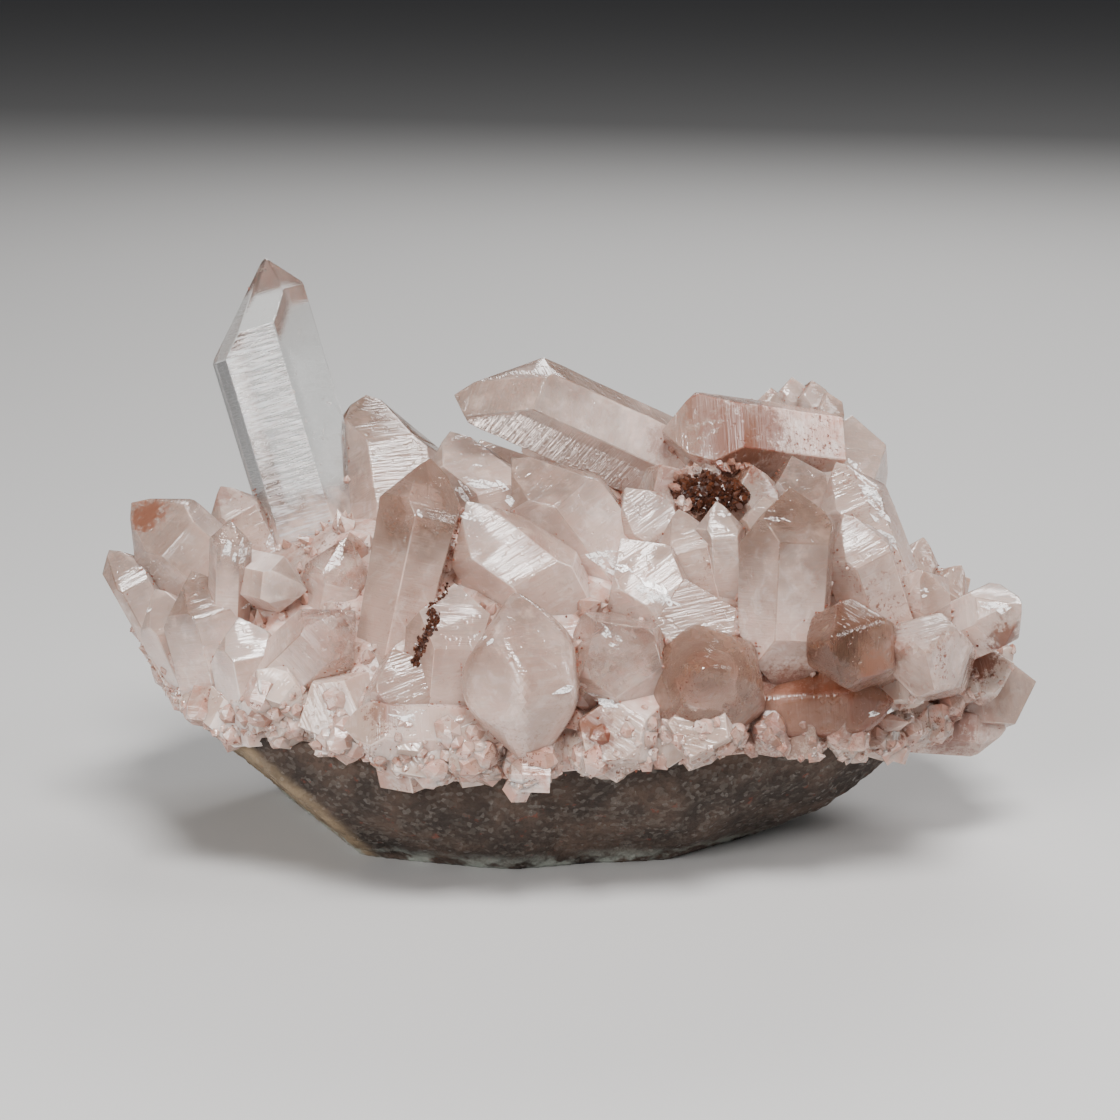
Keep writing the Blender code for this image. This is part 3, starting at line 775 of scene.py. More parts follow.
class Swarm:
    """Many small closed grains gathered into one mesh."""

    def __init__(self, shape: Grown) -> None:
        """Starts an empty swarm of one shape."""
        self.shape = shape
        self.points: list[Vector] = []
        self.rises: list[float] = []
        self.faces: list[list[int]] = []
        self.shades: list[float] = []

    def add(self, foot: Vector, axis: Vector, width: float, reach: float, rng: random.Random) -> None:
        """Adds one grain.

        Args:
            foot: Where it stands, in millimetres.
            axis: The way it points.
            width: How thick it is.
            reach: How far it stands out.
            rng: Source of its turn and its unevenness.
        """
        turned = axis.to_track_quat("Z", "Y").to_matrix()
        spin = rng.uniform(0.0, math.pi)
        start = len(self.points)
        rise, levels = self.shape.value
        sides = 4 if self.shape is Grown.CHIP else 6
        lean = (rng.uniform(-0.2, 0.2) * width, rng.uniform(-0.2, 0.2) * width)
        for height, share in levels:
            for k in range(sides):
                angle = spin + 2.0 * math.pi * k / sides
                radius = 0.5 * width * share * rng.uniform(0.82, 1.18)
                offset = Vector((math.cos(angle) * radius, math.sin(angle) * radius, height * reach))
                self.points.append(foot + turned @ offset)
                self.rises.append(max(height, 0.0))
        self.points.append(foot + turned @ Vector((lean[0], lean[1], reach * rise)))
        self.rises.append(rise)
        top = len(self.points) - 1
        for level in range(len(levels) - 1):
            low, high = start + level * sides, start + (level + 1) * sides
            for k in range(sides):
                after = (k + 1) % sides
                self.faces.append([low + k, low + after, high + after, high + k])
        last = start + sides * (len(levels) - 1)
        self.faces.extend([last + k, last + (k + 1) % sides, top] for k in range(sides))
        if self.shape is Grown.CHIP:
            self.points.append(foot - turned @ Vector((0.0, 0.0, 0.6 * reach)))
            self.rises.append(0.0)
            self.faces.extend([start + (k + 1) % sides, start + k, top + 1] for k in range(sides))
        else:
            self.faces.append([start + k for k in reversed(range(sides))])
        self.shades.extend([rng.random()] * (len(self.faces) - len(self.shades)))

    def mesh(self, name: str) -> bpy.types.Mesh:
        """The gathered grains as one mesh in metres, each with its own shade."""
        made = bpy.data.meshes.new(name)
        made.from_pydata([tuple(p * MM) for p in self.points], [], self.faces)
        layer = made.attributes.new("shade", "FLOAT", "FACE")
        layer.data.foreach_set("value", self.shades)
        local, growth, habit = [], [], []
        for polygon, shade in zip(made.polygons, self.shades):
            for index in polygon.vertices:
                local.extend(self.points[index])
                growth.extend((self.rises[index] * 0.5, 0.2, shade * 0.4))
                habit.extend((0.3 + shade * 0.5, shade, 1.0))
        write_corners(made, local=local, growth=growth, habit=habit)
        return made


class Skin:
    """The outer surface of a mesh, for finding places on it."""

    def __init__(self, mesh: bpy.types.Mesh) -> None:
        """Reads the mesh, which is in metres, into millimetres."""
        mesh.calc_loop_triangles()
        self.corners = [v.co / MM for v in mesh.vertices]
        self.triangles = [tuple(t.vertices) for t in mesh.loop_triangles]
        self.tree = BVHTree.FromPolygons(self.corners, self.triangles)
        self.areas = [t.area for t in mesh.loop_triangles]
        self.bare = [0.0] * len(self.areas)
        if "habit" in mesh.attributes:
            habit = mesh.attributes["habit"].data
            self.bare = [t.area if habit[t.loops[0]].vector[2] < 0.5 else 0.0 for t in mesh.loop_triangles]

    def seen(self, across: float, up: float) -> tuple[Vector, Vector]:
        """The place and normal of what the viewer sees there."""
        eye, _, _ = viewpoint()
        ray = (seen_at(across, up, 0.0) - eye).normalized()
        place, normal, _, _ = self.tree.ray_cast(eye, ray)
        return (seen_at(across, up, -20.0), -ray) if place is None else (place, normal)

    def scatter(
        self, count: int, rng: random.Random, covered: bool = True
    ) -> list[tuple[Vector, Vector]]:
        """Random places all over the skin, each with its normal.

        Args:
            count: How many.
            rng: Where the chance comes from.
            covered: Also on the large points, and not on the bare crust alone.

        Returns:
            The places and normals.
        """
        found = []
        weights = self.areas if covered else self.bare
        for face in rng.choices(range(len(self.triangles)), weights=weights, k=count):
            a, b, c = (self.corners[i] for i in self.triangles[face])
            u, v = rng.random(), rng.random()
            if u + v > 1.0:
                u, v = 1.0 - u, 1.0 - v
            normal = (b - a).cross(c - a).normalized()
            found.append((a + (b - a) * u + (c - a) * v, normal))
        return found

    def room(self, place: Vector, normal: Vector, reach: float) -> float:
        """How far a ray goes from a place before it meets the skin again, up to a reach."""
        _, _, _, distance = self.tree.ray_cast(place + normal * 0.05, normal, reach)
        return reach if distance is None else distance


@dataclass(frozen=True)
class Stain:
    """A coloured blot on the quartz, where the viewer sees it."""

    across: float
    up: float
    radius: float
    strength: float = 1.0


# How far a blot's ragged edge can lie from its centre, in radii.
STAIN_REACH = 1.2
QUARTZ_STAINS = (
    Stain(-68.2, 56.8, 4.0),
    Stain(-57.0, 60.0, 3.0, 0.6),
    Stain(27.6, 69.4, 9.0),
    Stain(31.5, 71.2, 5.0, 0.9),
    Stain(21.6, 74.6, 4.6, 0.85),
    Stain(15.4, 68.6, 3.4, 0.5),
    Stain(16.5, 62.4, 4.0, 0.6),
    Stain(32.5, 65.2, 4.4, 0.5),
    Stain(3.9, 22.8, 3.6),
    Stain(5.4, 20.4, 2.2),
    Stain(2.6, 30.0, 2.2, 0.7),
    Stain(49.6, 31.0, 4.2, 0.8),
    Stain(52.6, 35.0, 3.2, 0.7),
    Stain(70.9, 36.5, 3.6),
    Stain(66.3, 33.2, 3.6),
    Stain(61.2, 21.9, 6.0, 0.8),
    Stain(66.0, 24.0, 4.0, 0.6),
    Stain(35.0, 24.5, 9.0, 0.7),
    Stain(47.0, 25.0, 7.0, 0.7),
    Stain(-41.0, 36.0, 3.6, 0.6),
    Stain(-30.0, 25.5, 3.0, 0.7),
    Stain(-5.5, 52.0, 3.0, 0.5),
    Stain(24.0, 42.0, 3.4, 0.5),
)

# Patches of painted highlights, white flakes as the viewer sees them: name, place, spread, turn, how many, and
# how long.
GLINTS = (
    ("crack_above_middle", -13.4, 60.4, (4.2, 3.2), -32.0, 9, (2.4, 4.4)),
    ("middle_crack", 9.6, 47.2, (6.0, 2.6), -35.0, 10, (2.2, 4.6)),
    ("middle_crack_low", 14.6, 43.6, (3.0, 1.8), -35.0, 5, (1.8, 3.2)),
    ("middle_specks", -9.0, 51.8, (4.5, 4.5), 0.0, 5, (0.5, 1.1)),
    ("right_band", 47.8, 61.5, (5.6, 1.4), -58.0, 8, (2.6, 4.6)),
    ("right_band_low", 51.2, 53.8, (3.0, 1.0), -60.0, 5, (1.8, 3.0)),
    ("pocket_tooth", 24.8, 57.0, (2.0, 0.8), 10.0, 3, (1.2, 2.0)),
    ("window_band", 6.2, 26.4, (5.4, 0.8), -15.0, 7, (2.4, 4.0)),
    ("window_edge", 6.5, 37.2, (3.0, 0.8), -50.0, 4, (1.8, 3.0)),
    ("lit_corner", 68.8, 41.6, (2.0, 1.2), 0.0, 4, (2.6, 4.2)),
    ("right_speck", 57.5, 44.5, (1.6, 1.6), 0.0, 3, (1.0, 1.8)),
    ("left_face", -54.9, 50.6, (1.0, 3.4), 84.0, 6, (2.0, 3.6)),
    ("left_low", -52.8, 41.0, (1.0, 1.6), 0.0, 3, (1.2, 2.2)),
    ("left_tip", -68.2, 41.0, (0.6, 0.6), 45.0, 2, (1.2, 1.8)),
    ("lower_band", 50.0, 24.6, (2.0, 0.6), 12.0, 3, (1.6, 2.6)),
    ("under_blade", -27.0, 24.0, (2.6, 0.8), 5.0, 4, (2.0, 3.4)),
    ("foot_of_point", -47.6, 51.8, (0.8, 1.6), 58.0, 5, (2.2, 3.8)),
    ("egg", -13.8, 36.6, (0.6, 1.0), 70.0, 3, (1.0, 2.2)),
    ("blade", -24.1, 56.7, (0.4, 0.8), 70.0, 2, (1.0, 1.7)),
    ("shoulder", -31.4, 65.8, (0.6, 0.5), 20.0, 2, (0.8, 1.6)),
)

# The brown vein beside the leaning blade, as the viewer sees it, and the thread above it.
VEIN = ((-22.3, 41.0), (-21.9, 39.8), (-22.6, 38.4), (-23.7, 36.4), (-24.6, 34.2), (-25.1, 32.4))
# Pale points that narrow the druse's pocket to an uneven slit, as the viewer sees them.
POCKET_RIM = ((16.8, 61.8), (18.6, 63.0), (21.1, 63.8), (23.7, 64.3), (26.4, 64.9), (29.2, 64.7))
POCKET_SILL = ((17.2, 58.9), (19.2, 57.7), (20.9, 57.1))
THREAD = ((-19.6, 45.9), (-20.0, 44.4), (-20.8, 43.2), (-22.6, 42.3), (-22.3, 41.0))


@dataclass(frozen=True)
class QuartzFinish:
    """Quartz, milky and pinkish at its root, greyer and clearer towards its tip, rusty in places."""

    name: str = "milky_quartz"
    milk: tuple = srgb(230, 204, 193)
    # Near-white of the milky veils inside; also the colour of the painted highlights on some faces.
    veil_and_highlight: tuple = srgb(246, 232, 226)
    tip: tuple = srgb(212, 190, 178)
    # Greyish brown of smoky quartz; also the colour of the painted shade on some faces.
    smoke: tuple = srgb(130, 100, 82)
    pink: tuple = srgb(200, 150, 134)
    rust: tuple = srgb(108, 46, 22)
    amber: tuple = srgb(128, 76, 54)
    glass: tuple = srgb(244, 238, 234)
    clarity: float = 0.0
    scatter: float = 0.0028
    specks: float = 1.5
    absorbs: tuple | None = None
    absorption: float = 0.0

    def _colour(self, b: Bench, place: bpy.types.NodeSocket, stains: list) -> tuple:
        """What shows of the quartz's inside, how stained it is, and the painted shade and painted highlights that
        some of its faces get.

        Args:
            b: The material's bench.
            place: The shaded point in millimetres.
            stains: Place, radius and strength of each blot.

        Returns:
            The colour, the stain, and how near the tip the point is.
        """
        growth, habit = b.attribute("growth"), b.attribute("habit")
        along, smoke = b.part(growth, "X"), b.part(growth, "Z")
        rust, shade = b.part(habit, "X"), b.part(habit, "Y")
        inside = b.behind_facet(place, 5.0)
        far = b.scaled(place, (0.02, 0.02, 0.02))
        # Painted shade: some faces, chosen by the way they face, are darkened towards the smoke colour.
        painted_facet_shade = b.noise(b.behind_facet(far, 1.6), 1.0, 1.0).step(0.4, 0.62)
        # Painted highlight: some faces, chosen by the way they face, are lightened towards the near-white.
        painted_facet_light = b.noise(b.behind_facet(far, -2.7), 1.0, 1.0).step(0.45, 0.62)
        cloud = b.noise(inside, 0.13, 2.0, 0.55)
        rise = (along + (cloud - 0.5) * 0.6).clamped()
        tipness = rise.step(0.2, 0.95)
        colour = b.blend(tipness, self.milk, self.tip)
        # Lays the painted highlight on those faces, less on smoky quartz.
        colour = b.blend(painted_facet_light * (1.0 - smoke) * 0.6, colour, self.veil_and_highlight)
        colour = b.blend((tipness.larger(0.35) * smoke * 1.1).clamped(), colour, self.smoke)
        iron = smoke * rust * (cloud + 0.45)
        colour = b.blend(iron.clamped(), colour, self.amber)
        wisps = b.noise(inside, 0.32, 3.0, 0.62, 1.2).step(0.5, 0.68)
        colour = b.blend((wisps * (0.65 - tipness * 0.3 - smoke * 0.4)).clamped(), colour, self.veil_and_highlight)
        dusty = rise.step(0.55, 0.0) * b.noise(place, 0.35, 3.0, 0.7).step(0.36, 0.66)
        colour = b.blend((dusty * (0.45 + rust)).clamped() * 0.9, colour, self.pink)
        patches = cloud.step(0.46, 0.66)
        flecks = b.noise(place, 1.5, 3.0, 0.78).step(0.55, 0.62) * patches
        stain = flecks * (rust + 0.2) * self.specks
        broken_up = (b.noise(place, 0.9, 4.0, 0.8) - 0.5) * 2.6
        for centre, radius, strength in stains:
            near = b.distance(place, centre) * (1.0 / radius) + broken_up
            stain = stain.larger(near.step(1.05, 0.45, strength))
        colour = b.blend(stain.clamped() * 0.95, colour, self.rust)
        # Each point's own random tone, plus the painted shade of the darkened faces, both towards the smoke
        # colour.
        return b.blend(shade * 0.12 + painted_facet_shade * 0.46, colour, self.smoke), stain, tipness

    def _normal(self, b: Bench, place: bpy.types.NodeSocket) -> bpy.types.NodeSocket:
        """Cross lines and shallow pits of the faces."""
        lines = b.noise(b.scaled(b.attribute("local"), (0.12, 0.12, 2.2)), 1.0, 2.0, 0.65)
        pits = b.noise(place, 0.9, 1.0).step(0.6, 0.72)
        return b.bump(lines * 0.95 - pits * 0.35, 0.00016, 0.75)

    def material(self, stains: list[tuple[Vector, float, float]]) -> bpy.types.Material:
        """The finish, with rust blots at the given places.

        Args:
            stains: Place in millimetres, radius in millimetres, strength.

        Returns:
            The material.
        """
        b = Bench(self.name)
        place = b.place()
        colour, stain, tipness = self._colour(b, place, stains)
        normal = self._normal(b, place)
        frosted = b.noise(b.behind_facet(place, 9.0), 0.11, 3.0).step(0.5, 0.7)
        roughness = 0.07 + frosted * 0.24 + stain * 0.25
        milky = b.principled(
            Base_Color=colour, Roughness=roughness, Normal=normal, IOR=1.54,
            Subsurface_Weight=0.65, Subsurface_Radius=(1.0, 0.72, 0.62), Subsurface_Scale=self.scatter,
        )
        if self.clarity <= 0.0:
            return b.finish(milky)
        lit_through = b.add("ShaderNodeBsdfTranslucent", {}, {"Color": colour, "Normal": normal}).outputs[0]
        inner = b.add("ShaderNodeNewGeometry", {}, {}).outputs["Backfacing"]
        hazy = b.add("ShaderNodeMixShader", {}, {0: inner, 1: milky, 2: lit_through}).outputs[0]
        clear = b.principled(
            Base_Color=self.glass, Roughness=roughness * 0.6, Normal=normal, IOR=1.544,
            Transmission_Weight=1.0,
        )
        haze = b.noise(b.behind_facet(place, 3.0), 0.22, 4.0, 0.6).step(0.5, 0.75)
        own = b.part(b.attribute("growth"), "Y")
        share = ((tipness * 0.8 + 0.2) * own * self.clarity * (1.0 - haze * 0.6) * (1.0 - stain)).clamped()
        mixed = b.add("ShaderNodeMixShader", {}, {0: share, 1: hazy, 2: clear}).outputs[0]
        if self.absorbs is not None:
            soak = b.add("ShaderNodeVolumeAbsorption", {}, {"Color": self.absorbs, "Density": self.absorption})
            b.tree.links.new(soak.outputs[0], b.output.inputs["Volume"])
        return b.finish(mixed)


@dataclass(frozen=True)
class ClearFinish:
    """Water-clear quartz that turns milky at its foot; its front face has fine cross streaks, rougher and painted
    whitish and milky as a painted highlight.
    """

    glass: tuple = srgb(246, 247, 246)
    milk: tuple = srgb(222, 200, 190)
    # Whitish colour of the front face's streaks, a painted highlight.
    painted_streak_sheen: tuple = srgb(236, 236, 238)

    def material(self) -> bpy.types.Material:
        """The finish."""
        b = Bench("clear_quartz")
        local, growth, habit = b.attribute("local"), b.attribute("growth"), b.attribute("habit")
        along, front = b.part(growth, "X"), b.part(habit, "Z")
        cloud = b.noise(local, 0.25, 3.0)
        foot = (along + (cloud - 0.5) * 0.3).step(0.46, 0.2)
        streaks = b.noise(b.scaled(local, (0.22, 0.22, 3.2)), 1.0, 4.0, 0.7)
        # The streaks on the front face: rougher there, and painted whitish and milky as a painted highlight.
        front_streaks_and_sheen = front * streaks.step(0.42, 0.62)
        normal = b.bump(streaks * 0.7 + cloud * 0.5, 0.00012, 0.6)
        veils = b.noise(local, 0.5, 5.0, 0.7, 1.5).step(0.56, 0.7) * b.noise(local, 0.16, 2.0).step(0.4, 0.62)
        clear = b.principled(
            Base_Color=self.glass, Roughness=0.02 + front_streaks_and_sheen * 0.16, Normal=normal, IOR=1.544,
            Transmission_Weight=1.0,
        )
        # Milky skin, painted whitish on the front face's streaks as a painted highlight.
        cloudy = b.principled(
            Base_Color=b.blend(front_streaks_and_sheen, self.milk, self.painted_streak_sheen), Roughness=0.14, Normal=normal, IOR=1.54,
            Subsurface_Weight=1.0, Subsurface_Radius=(1.0, 0.8, 0.72), Subsurface_Scale=0.003,
        )
        lit_through = b.add("ShaderNodeBsdfTranslucent", {}, {"Color": self.milk}).outputs[0]
        inner = b.add("ShaderNodeNewGeometry", {}, {}).outputs["Backfacing"]
        hazy = b.add("ShaderNodeMixShader", {}, {0: inner, 1: cloudy, 2: lit_through}).outputs[0]
        # Milky share, raised on the front face's streaks as part of the painted highlight.
        share = (foot * 0.92).larger(front_streaks_and_sheen * 0.55).larger(veils * 0.4).clamped()
        return b.finish(b.add("ShaderNodeMixShader", {}, {0: share, 1: clear, 2: hazy}).outputs[0])


@dataclass(frozen=True)
class RockFinish:
    """Brown granular matrix, paler and greener along its broken rims."""

    dark: tuple = srgb(48, 38, 32)
    warm: tuple = srgb(88, 70, 59)
    grey: tuple = srgb(104, 96, 88)
    rim: tuple = srgb(146, 126, 100)
    frost: tuple = srgb(176, 182, 172)
    red: tuple = srgb(120, 56, 40)

    def material(self) -> bpy.types.Material:
        """The finish."""
        b = Bench("matrix_rock")
        place = b.place()
        height = b.part(place, "Z")
        blotch = b.noise(place, 0.12, 4.0, 0.6)
        colour = b.blend(blotch.step(0.35, 0.7), self.dark, self.warm)
        grains = b.add("ShaderNodeTexVoronoi", {"feature": "F1"}, {"Vector": place, "Scale": 1.5})
        spread = b.part(grains.outputs["Color"], "X")
        colour = b.blend(spread.step(0.55, 1.0) * 0.55, colour, self.grey)
        colour = b.blend(spread.step(0.35, 0.0) * 0.45, colour, self.dark)
        red = b.noise(place, 0.45, 3.0, 0.7).step(0.62, 0.72)
        colour = b.blend(red * 0.6, colour, self.red)
        broken = b.part(b.attribute("broken"), "X")
        patchy = b.noise(place, 0.25, 3.0).step(0.3, 0.6)
        colour = b.blend(broken * (0.45 + patchy * 0.5), colour, self.rim)
        low = height.step(4.5, 0.2) * b.noise(place, 0.22, 3.0, 0.6).step(0.42, 0.6)
        colour = b.blend(low * 0.8, colour, self.frost)
        relief = b.cells(place, 1.5) * 0.6 + b.noise(place, 2.5, 4.0, 0.7)
        normal = b.bump(relief, 0.0003, 0.9)
        glint = spread.step(0.9, 0.97)
        rock = b.principled(
            Base_Color=colour, Roughness=0.86 - glint * 0.6, Normal=normal, IOR=1.5,
        )
        return b.finish(rock)


@dataclass(frozen=True)
class GrainFinish:
    """Small grains, each with a shade of its own between two colours, glossy or dull."""

    name: str
    first: tuple
    second: tuple
    rough: float = 0.2
    milky: bool = False

    def material(self) -> bpy.types.Material:
        """The finish."""
        b = Bench(self.name)
        shade = Value(b, b.add("ShaderNodeAttribute", {"attribute_name": "shade"}, {}).outputs["Fac"])
        place = b.place()
        cloud = b.noise(place, 1.2, 2.0)
        colour = b.blend((shade * 0.8 + cloud * 0.3).clamped(), self.first, self.second)
        values = {"Base_Color": colour, "Roughness": self.rough + cloud * 0.15, "IOR": 1.54}
        if self.milky:
            values.update(
                Subsurface_Weight=1.0, Subsurface_Radius=(1.0, 0.7, 0.6), Subsurface_Scale=0.0012,
            )
        return b.finish(b.principled(**values))


def rock_shows(place: Vector) -> bool:
    """Whether a place is at the front or on the broken side, where the crust's rim is high."""
    return place.y < ROCK_SHOWS_BACK_TO or (place.x < ROCK_SHOWS_LEFT_OF and place.y < -ROCK_SHOWS_BACK_TO * 3.0)


def height_of(across: float) -> float:
    """How high the rock shows there before the crust covers it, in millimetres."""
    for (left, low), (right, high) in zip(ROCK_SHOWS, ROCK_SHOWS[1:]):
        if across <= right:
            share = min(max((across - left) / (right - left), 0.0), 1.0)
            return low + (high - low) * share
    return ROCK_SHOWS[-1][1]


@dataclass(frozen=True)
class FlakeFinish:
    """Painted highlight: white, standing in for light thrown back by a crack, streaked and broken up."""

    white: tuple = srgb(252, 248, 246)

    def material(self) -> bpy.types.Material:
        """The finish."""
        b = Bench("bright_flakes")
        place = b.place()
        streaks = b.noise(b.scaled(place, (1.1, 1.1, 1.7)), 1.0, 4.0, 0.65, 0.6)
        shows = streaks.step(0.42, 0.56) * 0.94
        return b.finish(b.principled(Base_Color=self.white, Roughness=0.08, IOR=1.54, Alpha=shows))


@dataclass
class Crust:
    """The milky crust that the points stand on: a rough dome over a flattened lower half."""

    centre: Vector = field(default_factory=lambda: Vector((-3.0, 1.0, 24.0)))
    radii: Vector = field(default_factory=lambda: Vector((70.0, 42.0, 30.0)))
    segments: int = 26
    rings: int = 12
    roughness: float = 4.0
    roughness_scale: float = 13.0
    lower_squash: float = 0.28
    small_count: int = 84
    small_width: tuple[float, float] = (5.0, 9.5)
    small_reach: tuple[float, float] = (3.5, 9.0)
    front_small_rise: float = 7.0
    rim_count: int = 58
    rim_width: tuple[float, float] = (4.5, 8.0)
    rim_reach: tuple[float, float] = (1.5, 4.5)

    def mesh(self) -> bpy.types.Mesh:
        """The crust alone, before anything stands on it."""
        bm = bmesh.new()
        bmesh.ops.create_uvsphere(bm, u_segments=self.segments, v_segments=self.rings, radius=1.0)
        for vert in bm.verts:
            vert.co = Vector([c + v * r for c, v, r in zip(self.centre, vert.co, self.radii)])
            if vert.co.z < self.centre.z:
                vert.co.z = self.centre.z + (vert.co.z - self.centre.z) * self.lower_squash
            outward = (vert.co - self.centre).normalized()
            vert.co += outward * self.roughness * noise.noise(vert.co / self.roughness_scale)
            if rock_shows(vert.co) or vert.co.x < ROCK_FREE_LEFT_OF:
                vert.co.z = max(vert.co.z, height_of(vert.co.x))
        break_off(bm, Matrix.Identity(4))
        made = bpy.data.meshes.new("crust")
        bm.to_mesh(made)
        bm.free()
        local = [c for loop in made.loops for c in made.vertices[loop.vertex_index].co]
        count = len(made.loops)
        write_corners(made, local=local, growth=[0.0, 0.0, 0.2] * count, habit=[0.5, 0.5, 0.0] * count)
        made.transform(Matrix.Scale(MM, 4))
        return made

    def place(self, around: float, climb: float) -> Vector:
        """A place on the dome: an angle round +Z, and how far it climbs from rim to top."""
        outward = Vector((
            math.cos(around) * math.cos(climb), math.sin(around) * math.cos(climb), math.sin(climb)
        ))
        return Vector([c + v * r for c, v, r in zip(self.centre, outward, self.radii)])

    def _raised(self, foot: Vector, width: float) -> float:
        """How far a rim point goes up so that the rock's front shows under it."""
        if not rock_shows(foot) or foot.z > self.centre.z + 1.5:
            return 0.0
        return max(height_of(foot.x) + 0.4 * width - foot.z, 0.0)

    def small_points(self, rng: random.Random) -> list[Crystal]:
        """The crust's own small points, on the dome and hanging round its rim.

        Args:
            rng: Where the chance comes from.

        Returns:
            The points, in plain places.
        """
        feet = []
        for k in range(self.small_count):
            around = 2.0 * math.pi * (k * 0.618034 % 1.0)
            foot = self.place(around, math.asin(0.04 + 0.92 * (k + 0.5) / self.small_count))
            if foot.y < 0.0 and foot.z > self.centre.z + self.front_small_rise:
                continue
            width = rng.uniform(*self.small_width)
            feet.append((foot, width, rng.uniform(*self.small_reach), 0.25, Tone.MILKY))
        for k in range(self.rim_count):
            around = 2.0 * math.pi * (k + rng.uniform(-0.3, 0.3)) / self.rim_count
            foot = self.place(around, -0.02) + Vector((0.0, 0.0, rng.uniform(-3.5, 1.0)))
            width = rng.uniform(*self.rim_width)
            feet.append((foot, width, rng.uniform(*self.rim_reach), -0.45, Tone.PINK))
        points = []
        for foot, width, reach, lift, tone in feet:
            outward = (foot - self.centre).normalized() + Vector((0.0, 0.0, lift))
            outward += Vector([rng.uniform(-0.45, 0.45) for _ in range(3)])
            outward.normalize()
            foot.z += self._raised(foot, width)
            points.append(Crystal(
                foot + outward * reach, foot - outward * (width + 4.0), width,
                roll=rng.uniform(0.0, 60.0), lesser=rng.uniform(0.1, 0.4), tone=tone,
            ))
        return points

    def all_points(self) -> dict[str, Crystal]:
        """Every point of the cluster, by name, in plain places."""
        points = {}
        for name, crystal in NAMED_CRYSTALS.items():
            points[name] = replace(crystal, tip=seen_at(*crystal.tip), root=seen_at(*crystal.root))
        for name, crystal in BACK_CRYSTALS.items():
            points[name] = replace(crystal, tip=Vector(crystal.tip), root=Vector(crystal.root))
        for k, tip in enumerate(COMB_TIPS):
            foot = seen_at(*COMB_ROOT) + Vector((tip[0] - COMB_TIPS[2][0], 0.0, 0.0))
            points[f"comb_plate_{k + 1}"] = Crystal(
                seen_at(*tip), foot, COMB_WIDTH, roll=10.0 * k, lesser=0.3, tone=Tone.RUSTY,
            )
        for k, crystal in enumerate(self.small_points(random.Random(SEED))):
            points[f"small_point_{k + 1:03d}"] = crystal
        return points


def grown_mesh(name: str, crystal: Crystal, bm: bmesh.types.BMesh) -> bpy.types.Mesh:
    """A point's finished mesh, its edges eased and, on the larger ones, its faces stepped."""
    rng = random.Random(name)
    if crystal.wear > 0.0:
        bm = crystal.worn(bm)
    else:
        crystal.eased(bm)
        if crystal.stepped_faces:
            crystal.stepped(bm, rng)
    break_off(bm, crystal.frame())
    if any(end.x < ROCK_SHOWS_LEFT_OF and rock_shows(end) for end in (crystal.root, crystal.tip)):
        back = crystal.frame().inverted()
        floor = Vector((crystal.root.x, crystal.root.y, height_of(crystal.root.x) - rng.uniform(0.0, 0.8)))
        slice_off(bm, back @ floor, back.to_3x3() @ Vector((0.0, 0.0, -1.0)))
    return crystal.mesh(name, bm, rng.random())


@dataclass
class QuartzBody:
    """Crust and points, grown together into one body and broken off at the left."""

    sharp_above: float = math.radians(24.0)

    @staticmethod
    def _combine(target: bpy.types.Object, operation: str, cutter: object) -> None:
        """Adds a Boolean with one object or with all of a collection."""
        modifier = target.modifiers.new(operation, "BOOLEAN")
        modifier.operation = operation
        modifier.solver = "EXACT"
        modifier.use_self = operation == "DIFFERENCE"
        if isinstance(cutter, bpy.types.Collection):
            modifier.operand_type = "COLLECTION"
            modifier.collection = cutter
        else:
            modifier.object = cutter

    @staticmethod
    def _outer_shell(bm: bmesh.types.BMesh) -> None:
        """Deletes every surface but the largest, so no hollow is sealed in."""
        left, found = set(bm.faces), []
        while left:
            shell, waiting = set(), [left.pop()]
            while waiting:
                face = waiting.pop()
                shell.add(face)
                for edge in face.edges:
                    for other in edge.link_faces:
                        if other in left:
                            left.remove(other)
                            waiting.append(other)
            found.append(shell)
        outer = max(found, key=lambda faces: sum(face.calc_area() for face in faces))
        bmesh.ops.delete(bm, geom=[face for face in bm.faces if face not in outer], context="FACES")

    def build(
        self, name: str, blocks: dict, start: bpy.types.Mesh, pocket: bpy.types.Mesh,
        outer_only: bool = True,
    ) -> bpy.types.Object:
        """Unites the points with a first solid and cuts the druse's pocket.

        Args:
            name: What the body is called.
            blocks: Each point with its shape, by name.
            start: The solid that they are united with.
            pocket: The pocket's shape.
            outer_only: Drop every shell but the largest.

        Returns:
            The body.
        """
        points = bpy.data.collections.new("points")
        for title, (crystal, bm) in blocks.items():
            points.objects.link(bpy.data.objects.new(title, grown_mesh(title, crystal, bm)))
        body = new_object(name, start)
        self._combine(body, "UNION", points)
        self._combine(body, "DIFFERENCE", bpy.data.objects.new("cutter", pocket))
        evaluated = body.evaluated_get(bpy.context.evaluated_depsgraph_get())
        bm = bmesh.new()
        bm.from_mesh(bpy.data.meshes.new_from_object(evaluated))
        body.modifiers.clear()
        if outer_only:
            self._outer_shell(bm)
        made = bpy.data.meshes.new(name)
        bm.to_mesh(made)
        bm.free()
        made.polygons.foreach_set("use_smooth", [True] * len(made.polygons))
        made.set_sharp_from_angle(angle=self.sharp_above)
        body.data = made
        for leftover in list(points.objects):
            bpy.data.objects.remove(leftover)
        for leftover in [thing for thing in bpy.data.objects if thing.name.startswith("cutter")]:
            bpy.data.objects.remove(leftover)
        return body


